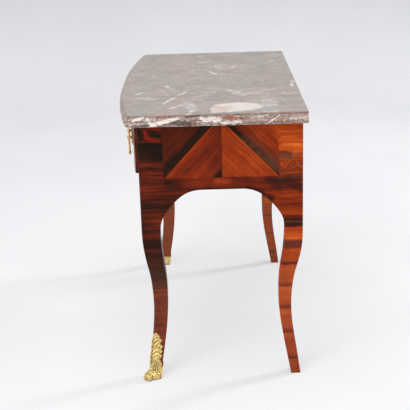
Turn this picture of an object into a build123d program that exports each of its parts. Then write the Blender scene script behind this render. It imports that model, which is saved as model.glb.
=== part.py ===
from build123d import *
import os
from math import asin, cos, sin, sqrt

# Console commode with one bowed drawer under a marble slab.
# X runs to the right of someone who faces the drawer, Y runs to the back and Z up.
# The origin is on the floor, under the middle of the slab's depth. Sizes are in mm.

# Overall sizes
height = 840
case_width = 960
case_depth = 476  # at the corners, without the bow
case_bow = 34  # how far the middle of the front stands before its corners

# Marble slab
marble_thickness = 33
marble_side_overhang = 24
marble_front_overhang = 34
marble_rear_overhang = 14
marble_bow = 43
marble_corner_radius = 26
moulding_depth = 14  # width of the moulded band, from the lip inwards
lip_height = 15  # lower roll of the moulding
lip_round = 3.5
quirk = 1.5  # small flat between the roll and the ovolo
fillet_height = 6  # flat band at the top edge
fillet_setback = 9.5
ovolo_setback = 7.5

# Legs, each sawn with its stile from one square timber
leg_timber = 70
leg_bend_drop = 130  # from the side arch down to where the legs start to curve
leg_side_width = 53  # at the top of the bend, seen from the side
leg_front_width = 40  # the same, seen from the front
leg_foot_width = 29
front_leg_sweep = 28  # deepest retreat of the ankle behind the case
rear_leg_sweep = 32
front_foot_kick = 12  # how far the front feet turn outwards again
saw_margin = 14  # spare wood round a sawn outline, and overrun of a cut

# Height, retreat, taper and kick down a leg, from the bend to the floor
leg_curve_shares = [
    (1.00, 0.00, 1.00, 0.00),
    (0.83, 0.21, 0.94, 0.00),
    (0.70, 0.66, 0.67, 0.00),
    (0.58, 0.92, 0.46, 0.00),
    (0.47, 1.00, 0.32, 0.00),
    (0.31, 0.83, 0.23, 0.05),
    (0.17, 0.52, 0.16, 0.35),
    (0.00, 0.17, 0.00, 1.00),
]

# Arches between the legs
side_case_height = 197  # carcase above the side arch
side_arch_shoulder = 128  # run of the curved corner of the arch
arch_mid_shares = (0.28, 0.635)  # point half way round that corner
front_case_height = 150  # carcase at the front and the back
front_arch_radius = 12

# Carcase boards and rails
panel_thickness = 22
rail_thickness = 20
front_rail_depth = 66  # from the front corners of the case inwards
rear_rail_thickness = 22
rear_rail_height = 45
back_board_thickness = 12
back_board_lap = 12
back_board_count = 3
back_board_gap = 0.5
tenon_length = 22
tenon_thickness = 10
panel_tenon_height = 45
panel_tenon_shares = (0.76, 0.31)  # of the case height at the front, down from the top
rail_tenon_width = 34
rail_tenon_inset = 4  # wood left above and below a rail's tenon
rear_tenon_height = 28
mortise_gap = 1  # air at the end of a tenon
peg_radius = 3
peg_gap = 0.05
peg_cover = 4  # wood left between a peg's end and the outer face
dovetail_root = 36
dovetail_flare = 5
runner_width = 86
guide_width = 22
guide_height = 23
stop_width = 40
stop_height = 24
glue_block_size = 26
glue_block_height = 34

# Drawer
drawer_front_thickness = 28
drawer_proud = 6  # how far the front stands before the stiles
drawer_gap = 0.3  # under and behind the drawer
drawer_play = 2  # at each side
drawer_top_play = 2
drawer_rear_space = 10
drawer_front_top_gap = 5  # under the slab
drawer_side_thickness = 12
drawer_bottom_thickness = 8
drawer_bottom_height = 7  # groove above the lower edge of the sides
drawer_groove = 4
drawer_back_drop = 10  # back lower than the sides
tail_count = 3
tail_length = 16
tail_root = 20
tail_flare = 3
apron_end_lap = 12  # drawer front below the front rail, at its ends
apron_drop = 60
# Places along the lower edge of the drawer front, from its end to its middle
apron_shares = [(1.00, 0.00), (0.86, 0.23), (0.66, 0.33), (0.42, 0.54), (0.20, 0.90), (0.00, 1.00)]

# Lock
lock_width = 70
lock_height = 45
lock_depth = 14
lock_fit = 0.2
lock_top_gap = 1  # under the rail
bolt_width = 24
bolt_thickness = 8
bolt_length = 26
bolt_travel = 9
bolt_gap = 0.3
bolt_wall = 3  # lock case before the bolt
key_hole_radius = 3
key_slot_width = 3
key_slot_drop = 9
key_height = 28  # keyhole below the top of the lock
key_chamber_radius = 7
key_pin_radius = 1.4
screw_radius = 2
screw_head_radius = 4
screw_head_height = 1.6
screw_length = 14
screw_gap = 0.1
screw_inset = 7
escutcheon_width = 40
escutcheon_height = 58
escutcheon_thickness = 2.4
escutcheon_shares = [(0.00, 1.00), (0.22, 0.86), (0.46, 0.66), (0.52, 0.44), (0.84, 0.30), (1.00, 0.00)]
plate_seat = 0.1  # air behind a flat mount on the bowed front

# Drop handles
handle_inset = 148  # middle of a handle from the end of the drawer
handle_drop = 79  # pivots below the top of the case
post_spacing = 84
post_reach = 12  # pivot before the drawer front
post_radius = 3.6
post_head_radius = 6.4
post_shank_radius = 2.5
post_shank_gap = 0.1
pin_radius = 2
pin_gap = 0.08
pin_length = 7
bail_radius = 2.9
bail_drop = 58
bail_eye_radius = 4.4
bail_eye_gap = 0.5
bail_eye_width = 6
bail_belly = 9  # how far the sides of the bail swing out and then in
bail_belly_shares = (0.4, 0.8)  # of the bail's drop, where they do
bail_knop_radius = 4.8
bail_knop_length = 17
plate_width = 118
plate_height = 47
# Outline of a quarter of the plate, from the middle of its top to its end
plate_shares = [
    (0.00, 1.00), (0.16, 0.86), (0.30, 0.52), (0.48, 0.40), (0.68, 0.58), (0.84, 0.64), (0.96, 0.42),
    (1.00, 0.00),
]
plate_drop = 7.5  # middle of the plate below the pivots
plate_thickness = 2.6
plate_rim = 2.4
plate_relief = 0.8  # field of a plate above its rim
plate_boss_radius = 8
plate_boss_height = 2.2
nut_size = 12
nut_thickness = 4
shank_end = 3  # thread beyond the nut

# Bronze shoes of the front feet
shoe_wall = 3
shoe_fit = 0.15
shoe_collar_height = 38
shoe_leaf_height = 144
shoe_base_height = 23
shoe_base_side = 42
shoe_base_radius = 14
shoe_base_round = 8
shoe_base_foot_round = 6
shoe_base_shift = 8  # base towards the toe
shoe_scroll_radius = 10
shoe_scroll_length = 23
shoe_scroll_round = 4
shoe_scroll_reach = 13  # axis of the scroll beyond the corner of the foot
shoe_toe_angle = 38  # toe turned from the side towards the front
leaf_half_width = 21
# Height and half width of the leaf, from its tip down its lobes to the arched top of the collar
leaf_shares = [
    (1.000, 0.00), (0.910, 0.49), (0.885, 0.40), (0.830, 0.78), (0.750, 0.58), (0.690, 0.95), (0.625, 0.77),
    (0.590, 1.00), (0.530, 0.82), (0.490, 1.02), (0.405, 0.80), (0.350, 1.00), (0.300, 1.12), (0.240, 1.12),
]

# Places worked out from the sizes
half_width = case_width / 2
depth = case_depth + marble_rear_overhang + marble_front_overhang + marble_bow
marble_rear_y = depth / 2
case_rear_y = marble_rear_y - marble_rear_overhang
case_front_y = case_rear_y - case_depth
case_top = height - marble_thickness
side_arch_height = case_top - side_case_height
front_arch_height = case_top - front_case_height
leg_bend_height = side_arch_height - leg_bend_drop
apron_end_height = front_arch_height - apron_end_lap
handle_height = case_top - handle_drop
front_seam_y = case_front_y + leg_timber
rear_seam_y = case_rear_y - leg_timber
stile_x = half_width - leg_timber
panel_inner_x = half_width - panel_thickness
rail_underside = case_top - rail_thickness
runner_top = front_arch_height + rail_thickness
front_rail_rear_y = case_front_y + front_rail_depth
back_board_y = case_rear_y - back_board_thickness
rear_rail_y = back_board_y - rear_rail_thickness
bow_radius = (half_width**2 + case_bow**2) / (2 * case_bow)
bow_centre_y = case_front_y - case_bow + bow_radius
drawer_face_radius = bow_radius + drawer_proud
drawer_inner_radius = drawer_face_radius - drawer_front_thickness
rail_front_radius = drawer_inner_radius - drawer_gap


def bow_y(radius, x):
    """Y of the bowed front at x, on the arc of the given radius."""
    return bow_centre_y - sqrt(radius**2 - x**2)


def block(low, high, mode=Mode.ADD):
    """Rectangular block between its lowest and its highest corner."""
    with Locations(Vector(*[(a + b) / 2 for a, b in zip(low, high)])):
        Box(*[b - a for a, b in zip(low, high)], mode=mode)


def mirrored(piece):
    """The same piece on the other side of the commode."""
    with BuildPart() as other:
        mirror(piece.part, about=Plane.YZ)
    return other


def leg_edge(face, inward, sweep, kick=0, top_width=0, foot_width=0):
    """Points down one edge of a leg, from the top of its bend to the floor."""
    return [
        (
            face + inward * (sweep * retreat - kick * turn + foot_width + (top_width - foot_width) * taper),
            leg_bend_height * rise,
        )
        for rise, retreat, taper, turn in leg_curve_shares
    ]


def edge_curve(points):
    """Smooth curve down an edge of a leg, upright where it starts."""
    foot = Vector(*points[-1]) - Vector(*points[-2])
    return Spline(*points, tangents=[(0, -1), foot.normalized()])


def arch_corner(start, inward):
    """Curved corner of the side arch, from a leg up to the level part."""
    rise = side_arch_height - start[1]
    run = inward * side_arch_shoulder
    middle = (start[0] + run * arch_mid_shares[0], start[1] + rise * arch_mid_shares[1])
    end = (start[0] + run, side_arch_height)
    Spline(start, middle, end, tangents=[(0, 1), (inward, 0)])
    return end


def side_opening():
    """Open space between the front and the rear leg, seen from the side."""
    front = leg_edge(case_front_y, 1, front_leg_sweep, 0, leg_side_width, leg_foot_width)
    rear = leg_edge(case_rear_y, -1, rear_leg_sweep, 0, leg_side_width, leg_foot_width)
    with BuildSketch(Plane.YZ) as opening:
        with BuildLine():
            edge_curve(front)
            edge_curve(rear)
            Line(arch_corner(front[0], 1), arch_corner(rear[0], -1))
            Polyline(front[-1], (front[-1][0], -saw_margin), (rear[-1][0], -saw_margin), rear[-1])
        make_face()
    return opening.sketch


def cross_opening(sweep, kick):
    """Open space between a left and a right leg, seen from the front."""
    right = leg_edge(half_width, -1, sweep, kick, leg_front_width, leg_foot_width)
    left = [(-x, z) for x, z in right]
    corner_x = half_width - leg_front_width
    with BuildSketch(Plane.XZ) as opening:
        with BuildLine():
            edge_curve(right)
            edge_curve(left)
            FilletPolyline(
                right[0],
                (corner_x, front_arch_height),
                (-corner_x, front_arch_height),
                left[0],
                radius=front_arch_radius,
            )
            Polyline(right[-1], (right[-1][0], -saw_margin), (left[-1][0], -saw_margin), left[-1])
        make_face()
    return opening.sketch


def leg_timber_face(plane, edge, width, top):
    """Outline of a leg's timber on a plane whose X runs inwards from the case face."""
    with BuildSketch(plane) as outline:
        with BuildLine():
            edge_curve(edge)
            Polyline(edge[0], (edge[0][0], top), (width, top), (width, 0), edge[-1])
        make_face()
    return outline.sketch


def foot_face(outer_wall, inner_wall):
    """Outline of a front foot and its walls seen from the front, up to the tip of its shoe."""
    outer = leg_edge(-outer_wall, 1, front_leg_sweep, front_foot_kick)
    inner = leg_edge(inner_wall, 1, front_leg_sweep, front_foot_kick, leg_front_width, leg_foot_width)
    spare = leg_bend_height - shoe_leaf_height
    with BuildSketch(front_leg_front) as outline:
        with BuildLine():
            edge_curve(outer)
            edge_curve(inner)
            Line(outer[0], inner[0])
            Line(outer[-1], inner[-1])
        make_face()
        with Locations((0, shoe_leaf_height + spare / 2)):
            Rectangle(half_width, spare, mode=Mode.SUBTRACT)
    return outline.sketch


def foot_rear_face(wall):
    """All that lies before the rear edge of a front leg and its wall, seen from the side."""
    rear = leg_edge(case_front_y + wall, 1, front_leg_sweep, 0, leg_side_width, leg_foot_width)
    far_y = case_front_y - leg_timber
    with BuildSketch(Plane.YZ) as outline:
        with BuildLine():
            edge_curve(rear)
            Polyline(rear[0], (far_y, rear[0][1]), (far_y, 0), rear[-1])
        make_face()
    return outline.sketch


# Planes on which the outlines of the right legs are drawn
bow_slope = (bow_y(bow_radius, half_width) - bow_y(bow_radius, stile_x)) / leg_timber
side_view_x = half_width + saw_margin
front_leg_side = Plane(
    origin=(side_view_x, case_front_y + bow_slope * saw_margin, 0), x_dir=(0, 1, 0), z_dir=(1, 0, 0)
)
rear_leg_side = Plane(origin=(side_view_x, case_rear_y, 0), x_dir=(0, -1, 0), z_dir=(-1, 0, 0))
front_leg_front = Plane(origin=(half_width, front_seam_y, 0), x_dir=(-1, 0, 0), z_dir=(0, 1, 0))
rear_leg_front = Plane(origin=(half_width, rear_seam_y, 0), x_dir=(-1, 0, 0), z_dir=(0, 1, 0))
along_bow = Vector(-1, -bow_slope, 0).normalized()
saw_length = (leg_timber + 2 * saw_margin) * sqrt(1 + bow_slope**2)

side_space = side_opening()
front_space = cross_opening(front_leg_sweep, front_foot_kick)
rear_space = cross_opening(rear_leg_sweep, 0)


def tenon_heights():
    """Middle heights of the tenons of a side panel."""
    return [case_top - share * front_case_height for share in panel_tenon_shares]


def panel_tenons(seam_y, direction, end_gap, mode):
    """Tenons of the right side panel at one of its ends, or their mortises."""
    middle_x = half_width - panel_thickness / 2
    ends = sorted((seam_y, seam_y + direction * (tenon_length + end_gap)))
    for z in tenon_heights():
        block(
            (middle_x - tenon_thickness / 2, ends[0], z - panel_tenon_height / 2),
            (middle_x + tenon_thickness / 2, ends[1], z + panel_tenon_height / 2),
            mode,
        )


def panel_pegs(seam_y, direction, radius, mode):
    """Pegs through the tenons of a side panel, or their holes, from the inner face."""
    y = seam_y + direction * tenon_length / 2
    length = leg_timber - peg_cover
    for z in tenon_heights():
        with Locations(Plane(origin=(stile_x, y, z), z_dir=(1, 0, 0))):
            Cylinder(radius, length, align=(Align.CENTER, Align.CENTER, Align.MIN), mode=mode)


def front_rail_tenon(end_gap, mode):
    """Right tenon of the lower front rail, or its mortise."""
    rear_y = front_rail_rear_y - rail_tenon_inset
    block(
        (stile_x, rear_y - rail_tenon_width, front_arch_height + rail_tenon_inset),
        (stile_x + tenon_length + end_gap, rear_y, runner_top - rail_tenon_inset),
        mode,
    )


def dovetail_face(root_y, tip_x):
    """Plan of the right dovetail of a top rail, which is let into the top of a stile."""
    half = dovetail_root / 2
    flared = half + dovetail_flare
    with BuildSketch(Plane.XY.offset(rail_underside)) as tail:
        with BuildLine():
            Polyline(
                (stile_x, root_y - half),
                (tip_x, root_y - flared),
                (tip_x, root_y + flared),
                (stile_x, root_y + half),
                close=True,
            )
        make_face()
    return tail.sketch


def rear_rail_tenon(low, end_gap, mode):
    """Right tenon of a rear rail whose lower edge is at the given height, or its mortise."""
    y = rear_rail_y + rear_rail_thickness / 2
    z = low + rear_rail_height / 2
    block(
        (stile_x, y - tenon_thickness / 2, z - rear_tenon_height / 2),
        (stile_x + tenon_length + end_gap, y + tenon_thickness / 2, z + rear_tenon_height / 2),
        mode,
    )


front_dovetail = dovetail_face(
    front_rail_rear_y - dovetail_root / 2 - dovetail_flare - rail_tenon_inset, stile_x + tenon_length
)
rear_rail_lows = (front_arch_height, case_top - rear_rail_height)

# Front legs
front_timber = leg_timber_face(
    front_leg_side, leg_edge(0, 1, front_leg_sweep), leg_timber + saw_margin, case_top
)
front_timber_front = leg_timber_face(
    front_leg_front, leg_edge(0, 1, front_leg_sweep, front_foot_kick), leg_timber, case_top
)
with BuildPart() as leg_front_right:
    extrude(front_timber, amount=saw_length, dir=along_bow)
    extrude(front_timber_front, amount=-leg_timber - 2 * saw_margin, mode=Mode.INTERSECT)
    extrude(side_space, amount=case_width, mode=Mode.SUBTRACT)
    extrude(front_space, amount=depth, both=True, mode=Mode.SUBTRACT)
    panel_tenons(front_seam_y, -1, mortise_gap, Mode.SUBTRACT)
    panel_pegs(front_seam_y, -1, peg_radius, Mode.SUBTRACT)
    front_rail_tenon(mortise_gap, Mode.SUBTRACT)
    extrude(front_dovetail, amount=rail_thickness, mode=Mode.SUBTRACT)
leg_front_left = mirrored(leg_front_right)

# Rear legs, rabbeted for the back boards
rear_timber = leg_timber_face(rear_leg_side, leg_edge(0, 1, rear_leg_sweep), leg_timber, case_top)
rear_timber_front = leg_timber_face(
    rear_leg_front, leg_edge(0, 1, rear_leg_sweep), leg_timber, case_top
)
with BuildPart() as leg_rear_right:
    extrude(rear_timber, amount=leg_timber + 2 * saw_margin)
    extrude(rear_timber_front, amount=leg_timber + saw_margin, mode=Mode.INTERSECT)
    extrude(side_space, amount=case_width, mode=Mode.SUBTRACT)
    extrude(rear_space, amount=depth, both=True, mode=Mode.SUBTRACT)
    panel_tenons(rear_seam_y, 1, mortise_gap, Mode.SUBTRACT)
    panel_pegs(rear_seam_y, 1, peg_radius, Mode.SUBTRACT)
    for low in rear_rail_lows:
        rear_rail_tenon(low, mortise_gap, Mode.SUBTRACT)
    block(
        (stile_x, back_board_y, front_arch_height),
        (stile_x + back_board_lap, case_rear_y, case_top),
        Mode.SUBTRACT,
    )
leg_rear_left = mirrored(leg_rear_right)

# Side panels with the arch in their lower edge
with BuildPart() as side_panel_right:
    block(
        (panel_inner_x, front_seam_y, leg_bend_height),
        (half_width, rear_seam_y, case_top),
    )
    extrude(side_space, amount=case_width, mode=Mode.SUBTRACT)
    panel_tenons(front_seam_y, -1, 0, Mode.ADD)
    panel_tenons(rear_seam_y, 1, 0, Mode.ADD)
    panel_pegs(front_seam_y, -1, peg_radius, Mode.SUBTRACT)
    panel_pegs(rear_seam_y, 1, peg_radius, Mode.SUBTRACT)
side_panel_left = mirrored(side_panel_right)


def bowed_plan(z, radius, half, rear_y):
    """Plan of a board with a bowed front edge and a straight rear edge."""
    corner_y = bow_y(radius, half)
    with BuildSketch(Plane.XY.offset(z)) as plan:
        with BuildLine():
            ThreePointArc((-half, corner_y), (0, bow_y(radius, 0)), (half, corner_y))
            Polyline((half, corner_y), (half, rear_y), (-half, rear_y), (-half, corner_y))
        make_face()
    return plan.sketch


# Front rails: the upper one dovetailed into the stiles, the lower one tenoned
bolt_y = bow_y(drawer_inner_radius, lock_width / 2) + lock_fit + bolt_wall + bolt_thickness / 2
upper_rail_plan = bowed_plan(rail_underside, rail_front_radius, stile_x, front_rail_rear_y)
lower_rail_plan = bowed_plan(front_arch_height, rail_front_radius, stile_x, front_rail_rear_y)
with BuildPart() as rail_front_upper:
    extrude(upper_rail_plan, amount=rail_thickness)
    extrude(front_dovetail, amount=rail_thickness)
    mirror(about=Plane.YZ)
    block(
        (-bolt_width / 2 - bolt_gap, bolt_y - bolt_thickness / 2 - bolt_gap, rail_underside),
        (
            bolt_width / 2 + bolt_gap,
            bolt_y + bolt_thickness / 2 + bolt_gap,
            rail_underside + bolt_travel + bolt_gap,
        ),
        Mode.SUBTRACT,
    )
with BuildPart() as rail_front_lower:
    extrude(lower_rail_plan, amount=rail_thickness)
    front_rail_tenon(0, Mode.ADD)
    mirror(about=Plane.YZ)

# Rear rails and the boards nailed on them
rear_rails = []
for low in rear_rail_lows:
    with BuildPart() as rear_rail:
        block(
            (-stile_x, rear_rail_y, low),
            (stile_x, back_board_y, low + rear_rail_height),
        )
        rear_rail_tenon(low, 0, Mode.ADD)
        mirror(about=Plane.YZ)
    rear_rails.append(rear_rail)
rail_rear_lower, rail_rear_upper = rear_rails

boards_width = 2 * (stile_x + back_board_lap)
board_width = (boards_width - (back_board_count + 1) * back_board_gap) / back_board_count
board_height = case_top - front_arch_height
with BuildPart() as back_boards:
    with Locations((0, back_board_y + back_board_thickness / 2, front_arch_height + board_height / 2)):
        with GridLocations(board_width + back_board_gap, board_height, back_board_count, 1):
            Box(board_width, back_board_thickness, board_height)

# Strips along each side that carry, guide and keep down the drawer
strip_outline = [
    (stile_x - runner_width + leg_timber - panel_thickness, front_rail_rear_y),
    (stile_x, front_rail_rear_y),
    (stile_x, front_seam_y),
    (panel_inner_x, front_seam_y),
    (panel_inner_x, rear_seam_y),
    (stile_x, rear_seam_y),
    (stile_x, rear_rail_y),
    (stile_x - runner_width + leg_timber - panel_thickness, rear_rail_y),
]
strips = []
for low in (front_arch_height, rail_underside):
    with BuildPart() as strip:
        with BuildSketch(Plane.XY.offset(low)):
            with BuildLine():
                Polyline(*strip_outline, close=True)
            make_face()
        extrude(amount=rail_thickness)
    strips.append(strip)
drawer_runner_right, drawer_kicker_right = strips
drawer_runner_left = mirrored(drawer_runner_right)
drawer_kicker_left = mirrored(drawer_kicker_right)

with BuildPart() as drawer_guide_right:
    block(
        (stile_x, front_seam_y, runner_top),
        (stile_x + guide_width, rear_seam_y, runner_top + guide_height),
    )
drawer_guide_left = mirrored(drawer_guide_right)

drawer_rear_y = rear_rail_y - drawer_rear_space
stop_front_y = drawer_rear_y + drawer_gap
stop_x = stile_x - drawer_play - stop_width / 2
with BuildPart() as drawer_stops:
    for x in (-stop_x, stop_x):
        block(
            (x - stop_width / 2, stop_front_y, runner_top),
            (x + stop_width / 2, rear_rail_y, runner_top + stop_height),
        )

# Glue blocks in the corners between the stiles and the side panels, under the runners
with BuildPart() as glue_blocks:
    for seam_y, inward in ((front_seam_y, 1), (rear_seam_y, -1)):
        with BuildSketch(Plane.XY.offset(front_arch_height - glue_block_height)):
            with BuildLine():
                Polyline(
                    (panel_inner_x, seam_y),
                    (panel_inner_x - glue_block_size, seam_y),
                    (panel_inner_x, seam_y + inward * glue_block_size),
                    close=True,
                )
            make_face()
        extrude(amount=glue_block_height)
    mirror(about=Plane.YZ)

with BuildPart() as tenon_pegs:
    panel_pegs(front_seam_y, -1, peg_radius - peg_gap, Mode.ADD)
    panel_pegs(rear_seam_y, 1, peg_radius - peg_gap, Mode.ADD)
    mirror(about=Plane.YZ)

# Marble slab: a flat core and a moulded rim along the front and both sides
marble_half = half_width + marble_side_overhang
marble_corner_y = case_front_y - marble_front_overhang
marble_radius = (marble_half**2 + marble_bow**2) / (2 * marble_bow)
marble_centre_y = marble_corner_y - marble_bow + marble_radius


def marble_plan(inset):
    """Plan of the slab, drawn in from its lip by an inset."""
    half = marble_half - inset
    radius = marble_radius - inset
    corner_y = marble_centre_y - sqrt(radius**2 - half**2)
    with BuildSketch(Plane.XY.offset(case_top)) as plan:
        with BuildLine():
            ThreePointArc((-half, corner_y), (0, marble_centre_y - radius), (half, corner_y))
            Polyline((half, corner_y), (half, marble_rear_y), (-half, marble_rear_y), (-half, corner_y))
        make_face()
        fillet(plan.vertices().sort_by(Axis.Y)[:2], marble_corner_radius - inset)
    return plan.sketch


rim_plan = marble_plan(0)
core_plan = marble_plan(moulding_depth)
rim_path = Wire(rim_plan.edges().sort_by(Axis.Y)[:-1])
rim_start = Plane(origin=(marble_half, marble_rear_y, case_top), x_dir=(-1, 0, 0), z_dir=(0, 1, 0))
with BuildPart() as marble_top:
    with BuildSketch(rim_start) as moulding:
        with BuildLine():
            ovolo_foot = (lip_round + quirk, lip_height)
            ovolo_head = (ovolo_setback, marble_thickness - fillet_height)
            ovolo_bend = (
                ovolo_foot[0] + (ovolo_head[0] - ovolo_foot[0]) * (1 - sqrt(1 / 2)),
                ovolo_foot[1] + (ovolo_head[1] - ovolo_foot[1]) * sqrt(1 / 2),
            )
            Line((moulding_depth, 0), (lip_round, 0))
            ThreePointArc((lip_round, 0), (0, lip_height / 2), (lip_round, lip_height))
            Line((lip_round, lip_height), ovolo_foot)
            ThreePointArc(ovolo_foot, ovolo_bend, ovolo_head)
            Polyline(
                ovolo_head,
                (fillet_setback, marble_thickness - fillet_height),
                (fillet_setback, marble_thickness),
                (moulding_depth, marble_thickness),
                (moulding_depth, 0),
            )
        make_face()
    sweep(path=rim_path)
    extrude(core_plan, amount=marble_thickness)

# Drawer: the sizes that its boards share
drawer_half = stile_x - drawer_play
handle_spacing = 2 * (drawer_half - handle_inset)
side_inner_x = drawer_half - drawer_side_thickness
side_low = runner_top + drawer_gap
side_high = rail_underside - drawer_top_play
shoulder_y = bow_y(drawer_inner_radius, side_inner_x)
back_front_y = drawer_rear_y - drawer_side_thickness
bottom_low = side_low + drawer_bottom_height
bottom_high = bottom_low + drawer_bottom_thickness
back_high = side_high - drawer_back_drop
front_high = case_top - drawer_front_top_gap


def tails(shoulder, direction, length, low, high):
    """Dovetails on the end of a drawer side, seen from the side of the drawer."""
    pitch = (high - low) / tail_count
    tip = shoulder + direction * length
    root = tail_root / 2
    flared = root + tail_flare
    with BuildSketch(Plane.YZ.offset(side_inner_x)) as tail_faces:
        for i in range(tail_count):
            z = low + pitch * (i + 1 / 2)
            with BuildLine():
                Polyline(
                    (shoulder, z - root),
                    (tip, z - flared),
                    (tip, z + flared),
                    (shoulder, z + root),
                    close=True,
                )
            make_face()
    return tail_faces.sketch


front_tails = tails(shoulder_y, -1, tail_length, side_low, side_high)
back_tails = tails(back_front_y, 1, drawer_side_thickness, bottom_high, back_high)


def drawer_front_plan(low):
    """Plan of the bowed drawer front at a height."""
    outer_y = bow_y(drawer_face_radius, drawer_half)
    inner_y = bow_y(drawer_inner_radius, drawer_half)
    with BuildSketch(Plane.XY.offset(low)) as plan:
        with BuildLine():
            ThreePointArc(
                (-drawer_half, outer_y), (0, bow_y(drawer_face_radius, 0)), (drawer_half, outer_y)
            )
            ThreePointArc(
                (-drawer_half, inner_y), (0, bow_y(drawer_inner_radius, 0)), (drawer_half, inner_y)
            )
            Line((-drawer_half, outer_y), (-drawer_half, inner_y))
            Line((drawer_half, outer_y), (drawer_half, inner_y))
        make_face()
    return plan.sketch


def apron_face():
    """Outline of the drawer front seen from the front, with its shaped lower edge."""
    right = [(drawer_half * x, apron_end_height - apron_drop * z) for x, z in apron_shares]
    left = [(-x, z) for x, z in reversed(right[:-1])]
    slope = Vector(*right[1]) - Vector(*right[0])
    with BuildSketch(Plane.XZ) as face:
        with BuildLine():
            Spline(
                *right,
                *left,
                tangents=[slope.normalized(), (slope.normalized().X, -slope.normalized().Y)],
            )
            Polyline(right[0], (drawer_half, front_high), (-drawer_half, front_high), left[-1])
        make_face()
    return face.sketch


# Places of the lock and the keyhole on the drawer front
lock_front_y = bow_y(drawer_inner_radius, lock_width / 2) + lock_fit
lock_rear_y = lock_front_y + lock_depth
lock_high = rail_underside - lock_top_gap
lock_low = lock_high - lock_height
key_z = lock_high - key_height


def keyhole(plane, grow):
    """Keyhole on a plane: a round hole with a slot under it."""
    with BuildSketch(plane) as hole:
        Circle(key_hole_radius + grow)
        with Locations((0, -key_slot_drop / 2)):
            Rectangle(key_slot_width + 2 * grow, key_slot_drop)
    return hole.sketch


def lock_screw_places():
    """X and Z of the four screws of the lock."""
    x = lock_width / 2 - screw_inset
    return [(sx * x, z) for sx in (-1, 1) for z in (lock_low + screw_inset, lock_high - screw_inset)]


# Places of the handles on the bowed face
def handle_plane(x):
    """Plane on the drawer's face at x: its X along the bow, Y up and Z outwards."""
    turn = asin(x / drawer_face_radius)
    outward = Vector(sin(turn), -cos(turn), 0)
    origin = Vector(x, bow_y(drawer_face_radius, x), handle_height)
    return Plane(origin=origin, x_dir=(cos(turn), sin(turn), 0), z_dir=outward)


def cartouche(plane, shares, width, height, shift):
    """Outline of four matching quarters, given from the middle of its top to its side."""
    quarter = [(width / 2 * x, height / 2 * y) for x, y in shares]
    with BuildSketch(plane) as outline:
        with BuildLine():
            for side in (-1, 1):
                for rise in (-1, 1):
                    points = [Vector(side * x, shift + rise * y) for x, y in quarter]
                    slopes = [after - before for before, after in zip(points, points[2:])]
                    slopes = [Vector(side, 0), *slopes, Vector(0, -rise)]
                    for index, start in enumerate(points[:-1]):
                        Spline(start, points[index + 1], tangents=slopes[index:index + 2])
        make_face()
    return outline.sketch


def post_places(side):
    """Planes of the two pivots of a handle, on the drawer's face."""
    base = handle_plane(side * handle_spacing / 2)
    return [
        Plane(
            origin=base.origin + base.x_dir * shift,
            x_dir=base.x_dir,
            z_dir=base.z_dir,
        )
        for shift in (-post_spacing / 2, post_spacing / 2)
    ]


drawer_front_blank = drawer_front_plan(apron_end_height - apron_drop)
drawer_outline = apron_face()
keyhole_face = keyhole(Plane(origin=(0, 0, key_z), x_dir=(1, 0, 0), z_dir=(0, -1, 0)), 0)
nut_seat = (post_spacing / 2 + nut_size) ** 2 / (2 * drawer_inner_radius) + plate_seat
shank_length = drawer_front_thickness + nut_seat + nut_thickness + shank_end
groove_plan = bowed_plan(
    bottom_low, drawer_inner_radius + drawer_groove, side_inner_x + drawer_groove, shoulder_y
)

with BuildPart() as drawer_front:
    extrude(drawer_front_blank, amount=front_high - apron_end_height + apron_drop)
    extrude(drawer_outline, amount=depth, both=True, mode=Mode.INTERSECT)
    for side in (-1, 1):
        x_range = sorted((side * side_inner_x, side * drawer_half))
        block(
            (x_range[0], shoulder_y, apron_end_height - apron_drop),
            (x_range[1], shoulder_y + tail_length, front_high),
            Mode.SUBTRACT,
        )
    extrude(front_tails, amount=drawer_side_thickness, mode=Mode.SUBTRACT)
    extrude(
        mirror(front_tails, about=Plane.YZ, mode=Mode.PRIVATE),
        amount=drawer_side_thickness,
        dir=(-1, 0, 0),
        mode=Mode.SUBTRACT,
    )
    extrude(groove_plan, amount=drawer_bottom_thickness, mode=Mode.SUBTRACT)
    extrude(keyhole_face, amount=depth, mode=Mode.SUBTRACT)
    for x, z in lock_screw_places():
        with Locations(Plane(origin=(x, lock_rear_y, z), z_dir=(0, -1, 0))):
            Cylinder(
                screw_radius + screw_gap,
                lock_depth + screw_length,
                align=(Align.CENTER, Align.CENTER, Align.MIN),
                mode=Mode.SUBTRACT,
            )
    for side in (-1, 1):
        for place in post_places(side):
            with Locations(place):
                Cylinder(post_shank_radius + post_shank_gap, 2 * depth / 3, mode=Mode.SUBTRACT)

with BuildPart() as drawer_side_right:
    block(
        (side_inner_x, shoulder_y, side_low),
        (drawer_half, drawer_rear_y, side_high),
    )
    block(
        (side_inner_x, back_front_y, bottom_high),
        (drawer_half, drawer_rear_y, back_high),
        Mode.SUBTRACT,
    )
    extrude(back_tails, amount=drawer_side_thickness)
    extrude(front_tails, amount=drawer_side_thickness)
    block(
        (side_inner_x, shoulder_y - tail_length, bottom_low),
        (side_inner_x + drawer_groove, drawer_rear_y, bottom_high),
        Mode.SUBTRACT,
    )
drawer_side_left = mirrored(drawer_side_right)

with BuildPart() as drawer_back:
    block(
        (-drawer_half, back_front_y, bottom_high),
        (drawer_half, drawer_rear_y, back_high),
    )
    extrude(back_tails, amount=drawer_side_thickness, mode=Mode.SUBTRACT)
    extrude(
        mirror(back_tails, about=Plane.YZ, mode=Mode.PRIVATE),
        amount=drawer_side_thickness,
        dir=(-1, 0, 0),
        mode=Mode.SUBTRACT,
    )

bottom_plan = bowed_plan(
    bottom_low, drawer_inner_radius + drawer_groove, side_inner_x + drawer_groove, drawer_rear_y
)
with BuildPart() as drawer_bottom:
    extrude(bottom_plan, amount=drawer_bottom_thickness)

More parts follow.
